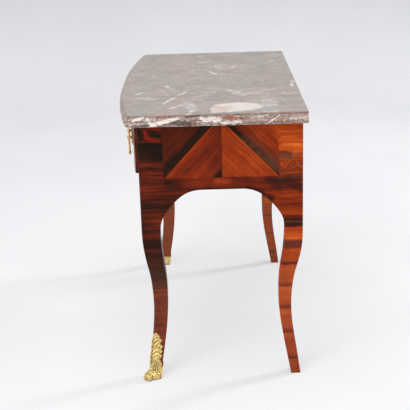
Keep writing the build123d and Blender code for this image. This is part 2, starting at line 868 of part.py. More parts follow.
# Lock screwed behind the drawer front, with a bolt that rises into the upper rail
bolt_low = lock_high - bolt_length
with BuildPart() as lock_case:
    block(
        (-lock_width / 2, lock_front_y, lock_low),
        (lock_width / 2, lock_rear_y, lock_high),
    )
    block(
        (
            -bolt_width / 2 - bolt_gap,
            bolt_y - bolt_thickness / 2 - bolt_gap,
            bolt_low - bolt_gap,
        ),
        (bolt_width / 2 + bolt_gap, bolt_y + bolt_thickness / 2 + bolt_gap, lock_high),
        Mode.SUBTRACT,
    )
    with Locations(Plane(origin=(0, lock_front_y + bolt_wall, key_z), z_dir=(0, 1, 0))):
        Cylinder(
            key_chamber_radius,
            lock_depth - 2 * bolt_wall,
            align=(Align.CENTER, Align.CENTER, Align.MIN),
            mode=Mode.SUBTRACT,
        )
        Cylinder(
            key_pin_radius,
            lock_depth - 2 * bolt_wall,
            align=(Align.CENTER, Align.CENTER, Align.MIN),
        )
    lock_keyhole = keyhole(
        Plane(origin=(0, lock_front_y + bolt_wall, key_z), x_dir=(1, 0, 0), z_dir=(0, -1, 0)), 0
    )
    extrude(lock_keyhole, amount=lock_depth, mode=Mode.SUBTRACT)
    for x, z in lock_screw_places():
        with Locations(Plane(origin=(x, lock_rear_y, z), z_dir=(0, 1, 0))):
            Hole(screw_radius + screw_gap, lock_depth)

with BuildPart() as lock_bolt:
    block(
        (-bolt_width / 2, bolt_y - bolt_thickness / 2, bolt_low),
        (bolt_width / 2, bolt_y + bolt_thickness / 2, lock_high),
    )
    chamfer(lock_bolt.faces().sort_by(Axis.Z)[-1].edges(), bolt_gap)

with BuildPart() as lock_screws:
    for x, z in lock_screw_places():
        with Locations(Plane(origin=(x, lock_rear_y, z), z_dir=(0, 1, 0))):
            Cylinder(
                screw_head_radius,
                screw_head_height,
                align=(Align.CENTER, Align.CENTER, Align.MIN),
            )
            Cylinder(
                screw_radius,
                lock_depth + screw_length - screw_gap,
                align=(Align.CENTER, Align.CENTER, Align.MAX),
            )

# Keyhole plate
escutcheon_plane = Plane(
    origin=(0, bow_y(drawer_face_radius, 0) - plate_seat, key_z), x_dir=(1, 0, 0), z_dir=(0, -1, 0)
)
escutcheon_keyhole = keyhole(escutcheon_plane, 0)
escutcheon_outline = cartouche(
    escutcheon_plane, escutcheon_shares, escutcheon_width, escutcheon_height, 0
)
escutcheon_field = cartouche(
    escutcheon_plane,
    escutcheon_shares,
    escutcheon_width - 2 * plate_rim,
    escutcheon_height - 2 * plate_rim,
    0,
)
with BuildPart() as escutcheon:
    extrude(escutcheon_outline, amount=escutcheon_thickness - plate_relief)
    extrude(escutcheon_field, amount=escutcheon_thickness)
    extrude(escutcheon_keyhole, amount=escutcheon_thickness, mode=Mode.SUBTRACT)


# Handles: the left one is made here and the right one is its mirror image
handle_base = handle_plane(-handle_spacing / 2)
left_posts = post_places(-1)
plate_top = plate_seat + plate_thickness + plate_boss_height
plate_plane = handle_base.offset(plate_seat)
plate_outline = cartouche(plate_plane, plate_shares, plate_width, plate_height, -plate_drop)
plate_field = cartouche(
    plate_plane, plate_shares, plate_width - 2 * plate_rim, plate_height - 2 * plate_rim, -plate_drop
)
with BuildPart() as handle_plate_left:
    extrude(plate_outline, amount=plate_thickness - plate_relief)
    extrude(plate_field, amount=plate_thickness)
    for place in left_posts:
        with Locations(place.offset(plate_seat + plate_thickness)):
            Cone(
                plate_boss_radius,
                plate_boss_radius - plate_boss_height,
                plate_boss_height,
                align=(Align.CENTER, Align.CENTER, Align.MIN),
            )
        with Locations(place.offset(plate_top)):
            Hole(post_shank_radius + post_shank_gap, plate_top)
handle_plate_right = mirrored(handle_plate_left)

# Posts that carry the bail, each with its threaded shank through the drawer front
with BuildPart() as handle_posts_left:
    for place in left_posts:
        with BuildSketch(Plane(origin=place.origin, x_dir=place.x_dir, z_dir=(0, 0, -1))):
            with BuildLine():
                Polyline(
                    (0, -shank_length),
                    (post_shank_radius, -shank_length),
                    (post_shank_radius, plate_top),
                    (post_radius, plate_top),
                    (post_radius, post_reach),
                    (0, post_reach),
                    close=True,
                )
            make_face()
        revolve(axis=Axis(place.origin, place.z_dir))
        with Locations(place.offset(post_reach)):
            Sphere(post_head_radius)
        with Locations(Plane(origin=place.offset(post_reach).origin, z_dir=place.x_dir)):
            Cylinder(pin_radius + pin_gap, 3 * post_head_radius, mode=Mode.SUBTRACT)
handle_posts_right = mirrored(handle_posts_left)

# Square nuts on the posts, inside the drawer
with BuildPart() as handle_nuts_left:
    for place in left_posts:
        with Locations(place.offset(-drawer_front_thickness - nut_seat)):
            Box(nut_size, nut_size, nut_thickness, align=(Align.CENTER, Align.CENTER, Align.MAX))
            Hole(post_shank_radius + post_shank_gap, nut_thickness)
handle_nuts_right = mirrored(handle_nuts_left)

# Bail that hangs from the posts, with an eye and an inward pin at each end
bail_plane = handle_base.offset(post_reach)
eye_x = post_spacing / 2 + post_head_radius + bail_eye_gap + bail_eye_width / 2
bail_right = [
    (eye_x, 0),
    (eye_x + bail_belly, -bail_drop * bail_belly_shares[0]),
    (eye_x - bail_belly, -bail_drop * bail_belly_shares[1]),
    (0, -bail_drop),
]
bail_left = [(-x, y) for x, y in reversed(bail_right[:-1])]
bail_points = [bail_plane.from_local_coords(point) for point in bail_right + bail_left]
knop_plane = Plane(
    origin=bail_plane.origin - bail_plane.y_dir * bail_drop, x_dir=bail_plane.x_dir, z_dir=bail_plane.z_dir
)
with BuildPart() as handle_bail_left:
    with BuildLine() as bail_line:
        Spline(
            *bail_points,
            tangents=[bail_plane.x_dir - bail_plane.y_dir, bail_plane.x_dir + bail_plane.y_dir],
        )
    with BuildSketch(Plane(origin=bail_line.line @ 0, z_dir=bail_line.line % 0)):
        Circle(bail_radius)
    sweep(path=bail_line.line)
    for end in (-1, 1):
        eye_origin = bail_plane.origin + bail_plane.x_dir * (end * eye_x)
        with Locations(Plane(origin=eye_origin, z_dir=bail_plane.x_dir * (-end))):
            Cylinder(bail_eye_radius, bail_eye_width)
            Cylinder(
                pin_radius,
                bail_eye_width / 2 + pin_length,
                align=(Align.CENTER, Align.CENTER, Align.MIN),
            )
    with BuildSketch(knop_plane):
        Ellipse(bail_knop_length / 2, bail_knop_radius)
        with Locations((0, -bail_knop_radius)):
            Rectangle(bail_knop_length, 2 * bail_knop_radius, mode=Mode.SUBTRACT)
    revolve(axis=Axis(knop_plane.origin, knop_plane.x_dir))
handle_bail_right = mirrored(handle_bail_left)

# Bronze shoe of a front foot: a collar, a lobed leaf up the corner and a scrolled toe
toe_edge_x = [x for x, z in leg_edge(half_width, -1, front_leg_sweep, front_foot_kick)]
toe_edge_y = [y for y, z in leg_edge(case_front_y, 1, front_leg_sweep)]
leaf_corner = Vector(toe_edge_x[-2], toe_edge_y[-2], 0)
foot_corner = Vector(toe_edge_x[-1], toe_edge_y[-1], 0)
outward = Vector(1, -1, 0).normalized()
across = Vector(1, 1, 0).normalized()
leaf_plane = Plane(origin=leaf_corner - outward * leg_timber, x_dir=across, z_dir=outward)


def leaf_face():
    """Outline of the leaf and the collar's arch, seen square to the corner that they cover."""
    right = [(leaf_half_width * w, shoe_leaf_height * h) for h, w in leaf_shares]
    left = [(-x, z) for x, z in reversed(right)]
    with BuildSketch(leaf_plane) as leaf:
        with BuildLine():
            Polyline(*right, *left[:-1], close=True)
        make_face()
    return leaf.sketch


def walled_foot(outer_wall, inner_wall):
    """The front foot up to the tip of its shoe, with a wall on its outer faces and one on the others."""
    side = leg_timber_face(
        front_leg_side, leg_edge(-outer_wall, 1, front_leg_sweep), leg_timber + saw_margin, case_top
    )
    rear = foot_rear_face(inner_wall)
    front = foot_face(outer_wall, inner_wall)
    with BuildPart() as foot:
        extrude(side, amount=saw_length, dir=along_bow)
        extrude(rear, amount=case_width, mode=Mode.INTERSECT)
        extrude(front, amount=-leg_timber - 2 * saw_margin, mode=Mode.INTERSECT)
    return foot.part


foot_hollow = walled_foot(shoe_fit, shoe_fit)
leaf_stock = walled_foot(shoe_wall, 0)
collar_stock = walled_foot(shoe_wall, shoe_wall)
leaf_outline = leaf_face()
with BuildPart() as shoe_leaf:
    add(leaf_stock)
    extrude(leaf_outline, amount=2 * leg_timber, mode=Mode.INTERSECT)
with BuildPart() as shoe_collar:
    add(collar_stock)
    with Locations(foot_corner):
        Box(2 * leg_timber, 2 * leg_timber, 2 * shoe_collar_height, mode=Mode.INTERSECT)

foot_middle = foot_corner - Vector(leg_foot_width / 2, -leg_foot_width / 2, 0)
toe_out = Vector(1, 0, 0).rotate(Axis.Z, -shoe_toe_angle)
toe_across = Vector(0, 1, 0).rotate(Axis.Z, -shoe_toe_angle)
scroll_middle = foot_corner + toe_out * shoe_scroll_reach + Vector(0, 0, shoe_scroll_radius)
with BuildPart() as shoe_base:
    with BuildSketch():
        with Locations(foot_middle + outward * shoe_base_shift):
            RectangleRounded(shoe_base_side, shoe_base_side, shoe_base_radius)
    extrude(amount=shoe_base_height)
    fillet(shoe_base.faces().sort_by(Axis.Z)[-1].edges(), shoe_base_round)
    fillet(shoe_base.faces().sort_by(Axis.Z)[0].edges(), shoe_base_foot_round)
with BuildPart() as shoe_scroll:
    with Locations(Plane(origin=scroll_middle, z_dir=toe_across)):
        Cylinder(shoe_scroll_radius, shoe_scroll_length)
    fillet(shoe_scroll.edges().filter_by(GeomType.CIRCLE), shoe_scroll_round)

with BuildPart() as shoe_right:
    add(shoe_collar.part)
    add(shoe_leaf.part)
    add(shoe_base.part)
    add(shoe_scroll.part)
    add(foot_hollow, mode=Mode.SUBTRACT)
shoe_left = mirrored(shoe_right)

# Every finished piece under its name
pieces = {
    "marble_top": marble_top,
    "leg_front_left": leg_front_left,
    "leg_front_right": leg_front_right,
    "leg_rear_left": leg_rear_left,
    "leg_rear_right": leg_rear_right,
    "side_panel_left": side_panel_left,
    "side_panel_right": side_panel_right,
    "rail_front_upper": rail_front_upper,
    "rail_front_lower": rail_front_lower,
    "rail_rear_upper": rail_rear_upper,
    "rail_rear_lower": rail_rear_lower,
    "back_boards": back_boards,
    "drawer_runner_left": drawer_runner_left,
    "drawer_runner_right": drawer_runner_right,
    "drawer_kicker_left": drawer_kicker_left,
    "drawer_kicker_right": drawer_kicker_right,
    "drawer_guide_left": drawer_guide_left,
    "drawer_guide_right": drawer_guide_right,
    "drawer_stops": drawer_stops,
    "glue_blocks": glue_blocks,
    "tenon_pegs": tenon_pegs,
    "shoe_left": shoe_left,
    "shoe_right": shoe_right,
    "drawer_front": drawer_front,
    "drawer_side_left": drawer_side_left,
    "drawer_side_right": drawer_side_right,
    "drawer_back": drawer_back,
    "drawer_bottom": drawer_bottom,
    "lock_case": lock_case,
    "lock_bolt": lock_bolt,
    "lock_screws": lock_screws,
    "escutcheon": escutcheon,
    "handle_plate_left": handle_plate_left,
    "handle_plate_right": handle_plate_right,
    "handle_posts_left": handle_posts_left,
    "handle_posts_right": handle_posts_right,
    "handle_nuts_left": handle_nuts_left,
    "handle_nuts_right": handle_nuts_right,
    "handle_bail_left": handle_bail_left,
    "handle_bail_right": handle_bail_right,
}

os.makedirs("parts", exist_ok=True)
for name, piece in pieces.items():
    piece.part.label = name
    export_step(piece.part, f"parts/{name}.step")
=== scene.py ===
"""Looks of a console commode: marquetry, marble slab, bronze shoes and drop handles round its CAD frame."""

from __future__ import annotations

import logging
import math
from dataclasses import dataclass, field
from enum import Enum
from functools import reduce

import bmesh
import bpy
from mathutils import Matrix, Vector
from mathutils.bvhtree import BVHTree


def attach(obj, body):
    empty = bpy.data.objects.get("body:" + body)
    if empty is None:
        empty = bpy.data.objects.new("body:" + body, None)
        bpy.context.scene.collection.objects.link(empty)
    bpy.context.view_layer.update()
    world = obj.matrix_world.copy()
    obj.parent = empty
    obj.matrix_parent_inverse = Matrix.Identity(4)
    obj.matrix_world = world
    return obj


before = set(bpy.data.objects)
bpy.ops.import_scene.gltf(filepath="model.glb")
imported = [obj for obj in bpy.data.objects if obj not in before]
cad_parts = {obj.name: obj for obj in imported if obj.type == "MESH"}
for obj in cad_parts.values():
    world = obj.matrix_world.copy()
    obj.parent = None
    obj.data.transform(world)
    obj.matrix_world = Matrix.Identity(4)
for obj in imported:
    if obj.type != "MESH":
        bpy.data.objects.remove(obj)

log = logging.getLogger("commode")
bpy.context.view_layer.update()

Socket = bpy.types.NodeSocket
Material = bpy.types.Material
Feed = Socket | float | tuple | None
Colour = tuple[float, float, float, float]
Place = tuple[float, float]


def paint(*screen: int) -> Colour:
    """The linear colour of a red, green and blue from 0 to 255 on a screen."""
    shares = [value / 255 for value in screen]
    return (*(s / 12.92 if s <= 0.04045 else ((s + 0.055) / 1.055) ** 2.4 for s in shares), 1.0)


def stops(*rows: Place) -> tuple[Place, ...]:
    """Stops from rows of a distance in millimetres and a tone in percent."""
    return tuple((distance / 1000, tone / 100) for distance, tone in rows)


def even(first: float, last: float, steps: int) -> list[float]:
    """Numbers in even steps from one to another."""
    return [first + (last - first) * step / steps for step in range(steps + 1)]


@dataclass(frozen=True)
class Streak:
    """Streak or patch on one face: its ends, half width and soft edge, its strength and its tone."""

    start: Place
    end: Place
    width: float
    soft: float
    share: float = 1.0
    tone: float = 0.0


def streaks(*rows: tuple[float, ...]) -> tuple[Streak, ...]:
    """Streaks from rows of both ends, half width and soft edge in millimetres, then strength and tone."""
    sizes = [tuple(value / 1000 for value in row[:6]) for row in rows]
    return tuple(Streak(size[:2], size[2:4], *size[4:], *row[6:]) for size, row in zip(sizes, rows))


class Graph:
    """Node tree of one finish, with the steps that the finishes share."""

    def __init__(self, name: str) -> None:
        """Starts a material of one shader.

        Args:
            name: Name of the material.
        """
        self.material = bpy.data.materials.new(name)
        self.material.use_nodes = True
        self.tree = self.material.node_tree
        self.shader = self.tree.nodes["Principled BSDF"]
        texture = self.node("TexCoord")
        self.place = texture.outputs["Object"]
        self.x, self.y, self.z = self.split(self.place)
        self.facing_x, self.facing_y, _ = self.split(texture.outputs["Normal"])

    def put(self, socket: Socket, feed: Feed) -> None:
        """Links a socket to another, or sets its value.

        Args:
            socket: Socket that is fed.
            feed: Another socket, a number, a colour or a vector, or None to leave it as it is.
        """
        if isinstance(feed, Socket):
            self.tree.links.new(feed, socket)
        elif feed is not None:
            socket.default_value = feed

    def node(self, kind: str, *feeds: Feed, **settings: object) -> bpy.types.Node:
        """Adds a node.

        Args:
            kind: Blender's name of the node, after "ShaderNode".
            feeds: What its inputs take, from the first one on.
            settings: Its properties.

        Returns:
            The node.
        """
        node = self.tree.nodes.new(f"ShaderNode{kind}")
        for name, value in settings.items():
            setattr(node, name, value)
        for socket, feed in zip(node.inputs, feeds):
            self.put(socket, feed)
        return node

    def feed(self, node: bpy.types.Node, **feeds: Feed) -> bpy.types.Node:
        """Feeds a node by its inputs' names.

        Args:
            node: The node.
            feeds: What the inputs take, by their names with _ for a space.

        Returns:
            The same node.
        """
        for name, feed in feeds.items():
            self.put(node.inputs[name.replace("_", " ")], feed)
        return node

    def calc(self, operation: str, *values: Feed, clamp: bool = False) -> Socket:
        """One step of arithmetic, by Blender's name of it."""
        return self.node("Math", *values, operation=operation, use_clamp=clamp).outputs[0]

    def times(self, *factors: Feed) -> Feed:
        """Product of numbers."""
        return reduce(lambda one, two: self.calc("MULTIPLY", one, two), factors)

    def plus(self, first: Feed, second: Feed) -> Socket:
        """Sum of two numbers."""
        return self.calc("ADD", first, second)

    def less(self, first: Feed, second: Feed) -> Socket:
        """Difference of two numbers."""
        return self.calc("SUBTRACT", first, second)

    def apart(self, first: Feed, second: Feed) -> Socket:
        """How far two numbers are from each other."""
        return self.calc("ABSOLUTE", self.less(first, second))

    def sway(self, noise: Feed, reach: float, middle: Feed = 0.0, clamp: bool = False) -> Socket:
        """A number that noise moves to both sides of a middle, by up to half of a reach."""
        return self.calc("MULTIPLY_ADD", self.less(noise, 0.5), reach, middle, clamp=clamp)

    def vector(self, operation: str, *values: Feed) -> Socket:
        """One step of arithmetic on vectors; a dot product or a length is a number."""
        node = self.node("VectorMath", *values, operation=operation)
        return node.outputs["Value" if operation in ("DOT_PRODUCT", "LENGTH") else "Vector"]

    def split(self, vector: Feed) -> tuple[Socket, Socket, Socket]:
        """The X, Y and Z of a vector."""
        return tuple(self.node("SeparateXYZ", vector).outputs)

    def join(self, x: Feed, y: Feed, z: Feed = 0.0) -> Socket:
        """A vector of three numbers, or a place on a flat face of two."""
        return self.node("CombineXYZ", x, y, z).outputs[0]

    def turn(self, vector: Feed, axis: tuple, angle: float) -> Socket:
        """A vector turned about an axis through the origin, by an angle in degrees."""
        return self.feed(
            self.node("VectorRotate"), Vector=vector, Axis=axis, Angle=math.radians(angle)
        ).outputs[0]

    def noise(
        self,
        scale: float | tuple[float, float, float],
        detail: float = 4,
        rough: float = 0.55,
        swirl: float = 0,
        where: Socket | None = None,
    ) -> Socket:
        """Cloudy noise between 0 and 1.

        Args:
            scale: Clouds in a metre, or their numbers along X, Y and Z.
            detail: Finer layers that are added.
            rough: Strength of each finer layer.
            swirl: How far the clouds are twisted.
            where: The place, if it isn't the surface's own.

        Returns:
            The noise's socket.
        """
        where = self.place if where is None else where
        if isinstance(scale, tuple):
            where, scale = self.vector("MULTIPLY", where, scale), 1
        node = self.node("TexNoise")
        self.feed(node, Vector=where, Scale=scale, Detail=detail, Roughness=rough, Distortion=swirl)
        return node.outputs[0]

    def cells(self, where: Feed, scale: tuple[float, float, float]) -> Socket:
        """Distance to the borders of random cells, by their numbers in a metre along X, Y and Z."""
        node = self.node("TexVoronoi", self.vector("MULTIPLY", where, scale), feature="DISTANCE_TO_EDGE")
        return self.feed(node, Scale=1).outputs["Distance"]

    def rise(self, value: Feed, start: float, end: float, low: float = 0, high: float = 1) -> Socket:
        """A soft step of a number, from low before the start to high after the end."""
        feeds = (value, start, end, low, high)
        return self.node("MapRange", *feeds, interpolation_type="SMOOTHSTEP").outputs[0]

    def mix(self, share: Feed, first: Feed, second: Feed) -> Socket:
        """Blend of two colours, by the share of the second one."""
        return self.node("Mix", share, *[None] * 5, first, second, data_type="RGBA").outputs[2]

    def blend(self, share: Feed, first: Feed, second: Feed) -> Socket:
        """Blend of two numbers, by the share of the second one."""
        return self.node("Mix", share, None, first, second).outputs[0]

    def cover(self, colour: Feed, *layers: tuple[Feed, Feed]) -> Feed:
        """A colour under layers, each a share and a colour, from the lowest to the highest."""
        return reduce(lambda under, layer: self.mix(layer[0], under, layer[1]), layers, colour)

    def ramp(self, value: Feed, row: tuple[tuple[float, Colour], ...]) -> Socket:
        """Colour along a row of stops.

        Args:
            value: Socket of a number between 0 and 1.
            row: Places and their colours.

        Returns:
            The colour's socket.
        """
        node = self.node("ValToRGB", value)
        elements = node.color_ramp.elements
        elements[0].position, elements[0].color = row[0]
        elements[1].position, elements[1].color = row[-1]
        for position, colour in row[1:-1]:
            elements.new(position).color = colour
        return node.outputs[0]

    def levels(self, value: Feed, reach: float, row: tuple[Place, ...]) -> Socket:
        """A number that follows another up to a reach, such as the tone of a leg along its height."""
        grey = tuple((place / reach, (tone, tone, tone, 1.0)) for place, tone in row)
        return self.ramp(self.calc("DIVIDE", value, reach, clamp=True), grey)

    def near(self, place: Feed, streak: Streak) -> Socket:
        """How near a place on a flat face is to a streak.

        Args:
            place: Socket of the place.
            streak: The streak.

        Returns:
            A socket that is the streak's strength on it and 0 beyond its soft edge.
        """
        start, end = Vector((*streak.start, 0)), Vector((*streak.end, 0))
        run = end - start
        away = self.vector("SUBTRACT", place, tuple(start))
        along = self.vector("DOT_PRODUCT", away, tuple(run / run.length_squared))
        along = self.calc("ADD", along, 0, clamp=True)
        nearest = self.feed(self.node("VectorMath", tuple(run), operation="SCALE"), Scale=along)
        away = self.vector("LENGTH", self.vector("SUBTRACT", away, nearest.outputs[0]))
        return self.times(self.rise(away, streak.width + streak.soft, streak.width), streak.share)

    def gather(self, place: Feed, row: tuple[Streak, ...]) -> Feed:
        """Greatest strength of any streak at a place."""
        return reduce(lambda most, streak: self.calc("MAXIMUM", most, self.near(place, streak)), row, 0.0)

    def tint(self, tone: Feed, place: Feed, row: tuple[Streak, ...]) -> Feed:
        """A tone under streaks that each have their own."""
        return reduce(lambda under, one: self.blend(self.near(place, one), under, one.tone), row, tone)

    def bump(self, height: Feed, depth: float, strength: float) -> None:
        """Raises the surface by a pattern, of which 1 is a depth in metres."""
        node = self.feed(self.node("Bump"), Height=height, Distance=depth, Strength=strength)
        self.feed(self.shader, Normal=node.outputs[0])

    def finish(self, **feeds: Feed) -> Material:
        """Feeds the shader by its inputs' names, and gives the finished material."""
        self.feed(self.shader, **feeds)
        return self.material


@dataclass(frozen=True)
class FrenchPolish:
    """Rosewood under French polish: its tones from heartwood to sapwood, its figure and its gloss."""

    tones: tuple[tuple[float, Colour], ...] = (
        (0.00, paint(11, 6, 5)),
        (0.16, paint(42, 13, 7)),
        (0.32, paint(84, 23, 8)),
        (0.48, paint(126, 37, 10)),
        (0.64, paint(164, 60, 16)),
        (0.82, paint(202, 88, 26)),
        (1.00, paint(236, 126, 48)),
    )
    flame: Colour = paint(150, 24, 15)
    ash: Colour = paint(104, 60, 42)
    veil: Colour = paint(168, 134, 108)
    bare: Colour = paint(170, 88, 50)
    bare_pore: Colour = paint(118, 56, 32)
    pore: Colour = paint(30, 12, 9)
    sheen: Colour = (1.0, 0.68, 0.45, 1.0)
    broad_scale: tuple[float, float, float] = (3.5, 3.5, 90)
    fine_scale: tuple[float, float, float] = (7, 7, 420)
    pore_scale: tuple[float, float, float] = (26, 26, 1300)
    cloud_scale: float = 13
    cloud_strength: float = 0.35
    pore_strength: float = 0.55
    pore_depth: float = 0.00012
    smoothest: float = 0.25
    roughest: float = 0.35
    gloss: float = 0.16
    coat: float = 0.03
    coat_roughness: float = 0.12

    def grain(self, graph: Graph, where: Feed) -> tuple[Socket, Socket, Socket]:
        """Figure of wood whose grain runs along X and Y of a place.

        Args:
            graph: Node tree of the finish.
            where: Place, turned so that Z runs across the grain.

        Returns:
            Sockets of the broad figure, the fine figure and the pores.
        """
        broad = graph.noise(self.broad_scale, 4, 0.62, 0.35, where)
        fine = graph.noise(self.fine_scale, 4, 0.7, 0.2, where)
        return broad, fine, graph.noise(self.pore_scale, 2, 0.5, 0, where)

    def figure(self, graph: Graph, tone: Feed, grain: tuple, broad: float = 0.8, fine: float = 0.7) -> Socket:
        """Tone of the wood with its figure.

        Args:
            graph: Node tree of the finish.
            tone: Mean tone between 0 and 1.
            grain: Sockets from grain().
            broad: Strength of the broad figure.
            fine: Strength of the fine figure.

        Returns:
            The tone's socket.
        """
        clouds = graph.noise(self.cloud_scale, 3, 0.6)
        tone = graph.sway(clouds, self.cloud_strength, tone)
        return graph.sway(grain[1], fine, graph.sway(grain[0], broad, tone), clamp=True)

    def lay(
        self, graph: Graph, tone: Feed, pores: Feed, bare: Feed, dulled: Feed = 0.0, **layers: Feed
    ) -> Material:
        """Colours, pores and polish of a face of tones.

        Args:
            graph: Node tree of the finish.
            tone: Socket of the tone.
            pores: Socket of the pores.
            bare: Share of wood without veneer.
            dulled: How much rougher than elsewhere the polish is.
            layers: Shares of flame and ash under the bare wood, and of a veil over it.

        Returns:
            The finished material.
        """
        veil = layers.pop("veil", None)
        colour = graph.ramp(tone, self.tones)
        colour = graph.cover(colour, *((share, getattr(self, name)) for name, share in layers.items()))
        bare_wood = graph.mix(graph.rise(pores, 0.35, 0.7), self.bare, self.bare_pore)
        colour = graph.mix(bare, colour, bare_wood)
        colour = colour if veil is None else graph.mix(veil, colour, self.veil)
        open_pore = graph.rise(pores, 0.60, 0.72)
        colour = graph.mix(graph.times(open_pore, self.pore_strength), colour, self.pore)
        graph.bump(graph.times(open_pore, -1), self.pore_depth, 0.5)
        rough = graph.plus(graph.rise(tone, 0, 1, self.roughest, self.smoothest), dulled)
        return graph.finish(
            Base_Color=colour,
            Roughness=rough,
            Coat_Weight=self.coat,
            Coat_Roughness=self.coat_roughness,
            Specular_IOR_Level=self.gloss,
            Specular_Tint=self.sheen,
        )


STILE_HEIGHT = 0.81
FRONT_STILE = stops(
    (0, 40), (100, 38), (160, 40), (185, 36), (210, 40), (290, 36), (306, 22), (360, 16), (400, 20),
    (440, 12), (457, 14), (470, 24), (500, 20), (530, 28), (555, 16), (600, 26), (620, 32), (640, 24),
    (660, 34), (675, 26), (690, 32), (697, 28), (700, 3), (720, 5), (752, 1), (757, 24), (775, 18), (810, 30),
)
REAR_STILE = stops(
    (0, 52), (44, 58), (49, 30), (60, 54), (128, 66), (133, 36), (146, 62), (206, 68), (211, 34), (226, 64),
    (282, 70), (287, 34), (302, 64), (357, 68), (362, 28), (374, 58), (412, 60), (424, 30), (441, 32),
    (450, 74), (485, 70), (490, 16), (518, 20), (525, 56), (592, 50), (612, 32), (642, 36), (650, 56),
    (699, 58), (722, 76), (800, 62),
)


@dataclass(frozen=True)
class BandedVeneer:
    """Cross-banded veneer of a stile and its leg: blocks of level grain, one over the other."""

    name: str
    tones: tuple[Place, ...]
    inner_side: int
    stripes: tuple[Streak, ...] = ()
    flames: tuple[Streak, ...] = ()
    ashes: tuple[Streak, ...] = ()
    burr: tuple[float, float] | None = None
    burr_spacing: float = 0.0075
    burr_tone: float = -0.34
    calm: float = 0.5
    polish: FrenchPolish = FrenchPolish()

    def curl(self, graph: Graph, lift: Feed) -> Socket:
        """Dark rings of a burr between two heights.

        Args:
            graph: Node tree of the finish.
            lift: Height, waved along the grain.

        Returns:
            Socket of the tone that the rings add.
        """
        low, high = self.burr
        edge = 0.002
        swell = graph.noise(34, 2, where=graph.join(0, graph.y, graph.z))
        phase = graph.calc("MULTIPLY_ADD", swell, 0.07, graph.z)
        wave = graph.calc("SINE", graph.times(phase, math.tau / self.burr_spacing))
        above, below = graph.rise(lift, low - edge, low + edge), graph.rise(lift, high + edge, high - edge)
        return graph.times(graph.rise(wave, 0.1, 0.9, 0, self.burr_tone), graph.times(above, below))

    def material(self) -> Material:
        """Builds the veneer of one leg.

        Returns:
            The leg's material.
        """
        graph, polish = Graph(self.name), self.polish
        waves = graph.noise((14, 14, 30), 3)
        lift = graph.sway(waves, 0.012, graph.z)
        broad, fine, pores = polish.grain(graph, graph.join(graph.x, graph.y, lift))
        face = graph.join(graph.sway(waves, 0.016, graph.y), lift)
        tone = graph.tint(graph.levels(lift, STILE_HEIGHT, self.tones), face, self.stripes)
        if self.burr:
            tone = graph.plus(tone, self.curl(graph, lift))
        strength = graph.rise(graph.z, 0.40, 0.56, self.calm, 1)
        tone = polish.figure(graph, tone, tuple(graph.blend(strength, 0.5, grain) for grain in (broad, fine)))
        return polish.lay(
            graph,
            tone,
            pores,
            bare=graph.rise(graph.times(graph.facing_x, self.inner_side), 0.3, 0.6, 0, 0.42),
            dulled=graph.rise(graph.facing_y, -0.6, -0.95, 0, 0.65),
            flame=graph.times(graph.gather(face, self.flames), graph.rise(fine, 0.38, 0.55, 0.25, 1)),
            ash=graph.times(graph.gather(face, self.ashes), graph.rise(fine, 0.3, 0.6, 0.35, 1)),
            veil=graph.rise(graph.z, 0.42, 0.28, 0, 0.08),
        )


